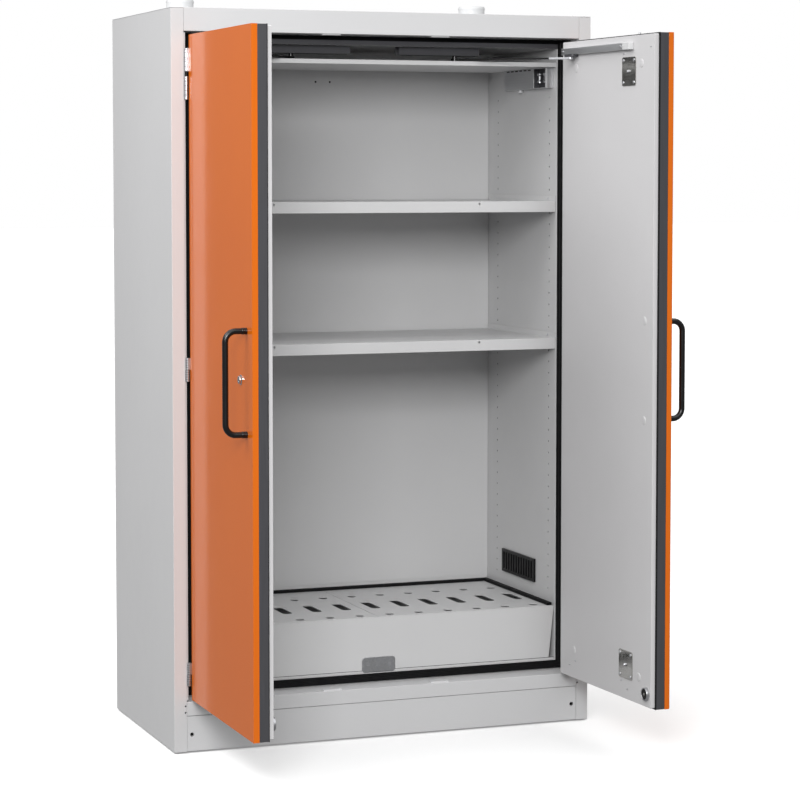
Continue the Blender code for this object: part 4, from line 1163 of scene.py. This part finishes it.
def build_arm(side_name):
    """The closer's arm: zinc-plated near its pivot, black in the recess as painted shade."""
    node = f"{side_name}_closer_arm"
    arm = f"{side_name}_arm"
    pivot = Vector(JOINTS[f"{arm}_pivot"]["pos_m"])
    tip = max((vert.co for vert in NODES[node].data.vertices), key=lambda co: (co.xy - pivot.xy).length)
    along = Vector((tip.x - pivot.x, tip.y - pivot.y, 0.0)).normalized()
    join = pivot + ARM_SHADE_START * along
    # Past the join the arm is black: painted shade where it runs into the recess.
    for name, slot, keeps_tip in (("link", "zinc_steel", False), ("slider", "handle_black", True)):
        shape = rounded_copy(node, EDGE_RADII["closer_silver"])
        bmesh.ops.bisect_plane(
            shape, geom=shape.verts[:] + shape.edges[:] + shape.faces[:], plane_co=join, plane_no=along,
            clear_inner=keeps_tip, clear_outer=not keeps_tip)
        bmesh.ops.holes_fill(shape, edges=shape.edges[:], sides=0)
        finish_piece(f"{node}_{name}", shape, slot, arm, replaces=(node,) if keeps_tip else ())


def build_handle(door):
    """The bow handle, bent from round bar, with a grooved ferrule at each end."""
    node = f"{door.body}_handle"
    low, high = door.box(node)
    radius = (high.y - low.y) / 2
    y = (low.y + high.y) / 2
    bottom = low.z + radius
    top = high.z - radius
    bend_x = high.x - radius - HANDLE_BEND
    bm = bmesh.new()
    start = standing((low.x, y, bottom), RIGHT)
    bmesh.ops.create_circle(bm, segments=HANDLE_STEPS, radius=radius, matrix=start)
    end = push(bm, bm.edges[:], (bend_x - low.x, 0.0, 0.0))
    end = bend(bm, end, (bend_x, y, bottom + HANDLE_BEND))
    end = push(bm, end, (0.0, 0.0, top - bottom - 2 * HANDLE_BEND))
    end = bend(bm, end, (bend_x, y, top - HANDLE_BEND))
    push(bm, end, (low.x - bend_x, 0.0, 0.0))
    bmesh.ops.holes_fill(bm, edges=bm.edges[:], sides=HANDLE_STEPS)
    door.finish("handle_bow", bm, "handle_black", replaces=(node,))
    feet = [seated(FERRULE_SHAPE, *FERRULE, (low.x, y, z), RIGHT) for z in (bottom, top)]
    door.finish("handle_feet", gather(*feet), "handle_black")


def push(bm, ring, move):
    """Draw an open tube's end straight on; gives the new end."""
    grown = bmesh.ops.extrude_edge_only(bm, edges=ring)["geom"]
    verts = [item for item in grown if isinstance(item, bmesh.types.BMVert)]
    bmesh.ops.translate(bm, verts=verts, vec=move)
    return [item for item in grown if isinstance(item, bmesh.types.BMEdge)]


def bend(bm, ring, centre):
    """Swing an open tube's end up through a right angle; gives the new end."""
    grown = bmesh.ops.spin(
        bm, geom=ring, cent=centre, axis=-BACK, angle=math.radians(SQUARE), steps=HANDLE_BEND_STEPS)
    return [item for item in grown["geom_last"] if isinstance(item, bmesh.types.BMEdge)]


def build_lock(door):
    """The chrome rosette round the lock cylinder of the left door."""
    low, high = door.box("lock_cylinder")
    face = door.box(f"{door.body}_skin")[1].x
    centre = (face, (low.y + high.y) / 2, (low.z + high.z) / 2)
    outline = [
        (ROSETTE_BORE, 0.0), (ROSETTE_RADIUS, 0.0), (ROSETTE_RADIUS, ROSETTE_HEIGHT / 3),
        (ROSETTE_RADIUS - ROSETTE_HEIGHT, ROSETTE_HEIGHT), (ROSETTE_BORE, ROSETTE_HEIGHT),
    ]
    rosette = moved(lathe(outline, DISC_STEPS, True), standing(centre, RIGHT))
    finish_piece("lock_rosette", rosette, "lock_chrome", door.body, door.place)


def build_door(side_name):
    """All pieces of a door, and its closer's arm."""
    door = Door(side_name)
    build_skin(door)
    build_liner(door)
    build_gasket(door)
    build_latches(door)
    build_caps(door)
    build_magnet(door)
    build_closer(door)
    build_arm(side_name)
    build_handle(door)
    if side_name == "left":
        build_lock(door)


def dress_other_nodes():
    """Rounded copies of all other CAD nodes."""
    for node in SLOTS:
        if node not in DRESSED:
            finish_copy(node)


def paint_nodes():
    """Give each CAD node the finish of its slot."""
    for node, slot in SLOTS.items():
        materials = NODES[node].data.materials
        materials.clear()
        materials.append(MATERIALS[slot])


def build_camera():
    """The camera, slightly tilted, and shifted to frame the part."""
    camera = bpy.data.cameras.new("camera")
    camera.lens = CAMERA_FOCAL
    camera.sensor_width = CAMERA_SENSOR
    camera.shift_x, camera.shift_y = CAMERA_SHIFT
    camera.clip_end = CAMERA_REACH
    holder = put_in_scene("camera", camera)
    holder.location = CAMERA_PLACE
    holder.rotation_euler = (math.radians(SQUARE + CAMERA_TILT), 0.0, math.radians(-CAMERA_TURN))
    bpy.context.scene.camera = holder


def build_floor():
    """A plain pale floor that throws no light back on the part."""
    bm = bmesh.new()
    bmesh.ops.create_grid(bm, x_segments=1, y_segments=1, size=FLOOR_SIZE)
    finish = Finish(
        "white_studio_floor", Roughness=FLOOR_ROUGHNESS, Base_Color=linear(FLOOR_COLOUR),
        Emission_Color=linear(WHITE), Emission_Strength=FLOOR_GLOW)
    floor = put_in_scene("floor", as_mesh(bm, "floor"))
    floor.data.materials.append(finish.material)
    floor.visible_diffuse = False
    floor.visible_glossy = False


def build_room():
    """A grey room that is brighter above; the camera sees it white."""
    world = bpy.data.worlds.new("studio")
    world.use_nodes = True
    tree = world.node_tree
    direction = add(tree, "ShaderNodeTexCoord", output="Generated")
    height = add(tree, "ShaderNodeSeparateXYZ", {"Vector": direction}, output="Z")
    glow = add(tree, "ShaderNodeMapRange", {"Value": height, "To Min": ROOM_LOW, "To Max": ROOM_HIGH})
    seen = add(tree, "ShaderNodeLightPath", output="Is Camera Ray")
    brightness = add(tree, "ShaderNodeMapRange", {"Value": seen, "To Min": glow, "To Max": 1.0})
    tree.links.new(brightness, tree.nodes["Background"].inputs["Strength"])
    tree.nodes["Background"].inputs["Color"].default_value = linear(WHITE)
    bpy.context.scene.world = world


def add_softbox(name, place, aim, size, power):
    """A rectangular light that looks at a point."""
    light = bpy.data.lights.new(name, "AREA")
    light.shape = "RECTANGLE"
    light.size, light.size_y = size
    light.energy = power
    holder = put_in_scene(name, light)
    holder.location = place
    holder.rotation_euler = (Vector(aim) - Vector(place)).to_track_quat("-Z", "Y").to_euler()


def build_lights():
    """The broad light overhead and the softboxes."""
    overhead = bpy.data.lights.new("overhead", "SUN")
    overhead.energy = OVERHEAD_POWER
    overhead.angle = math.radians(OVERHEAD_SPREAD)
    holder = put_in_scene("overhead", overhead)
    holder.rotation_euler = [math.radians(turn) for turn in OVERHEAD_TURN]
    for name, settings in SOFTBOXES.items():
        add_softbox(name, *settings)
    bpy.context.scene.view_settings.view_transform = "Standard"


build_walls()
build_side_casings()
build_plinth()
build_casing_screws()
build_frame_seal()
build_sump_insert()
build_sump_foot()
build_shelves()
build_keeper()
build_spigots()
build_grilles()
build_release_housing()
build_release_fittings()
build_closer_guides()
build_hinges()
for door_side in SIDES:
    build_door(door_side)
dress_other_nodes()
paint_nodes()
build_camera()
build_floor()
build_room()
build_lights()
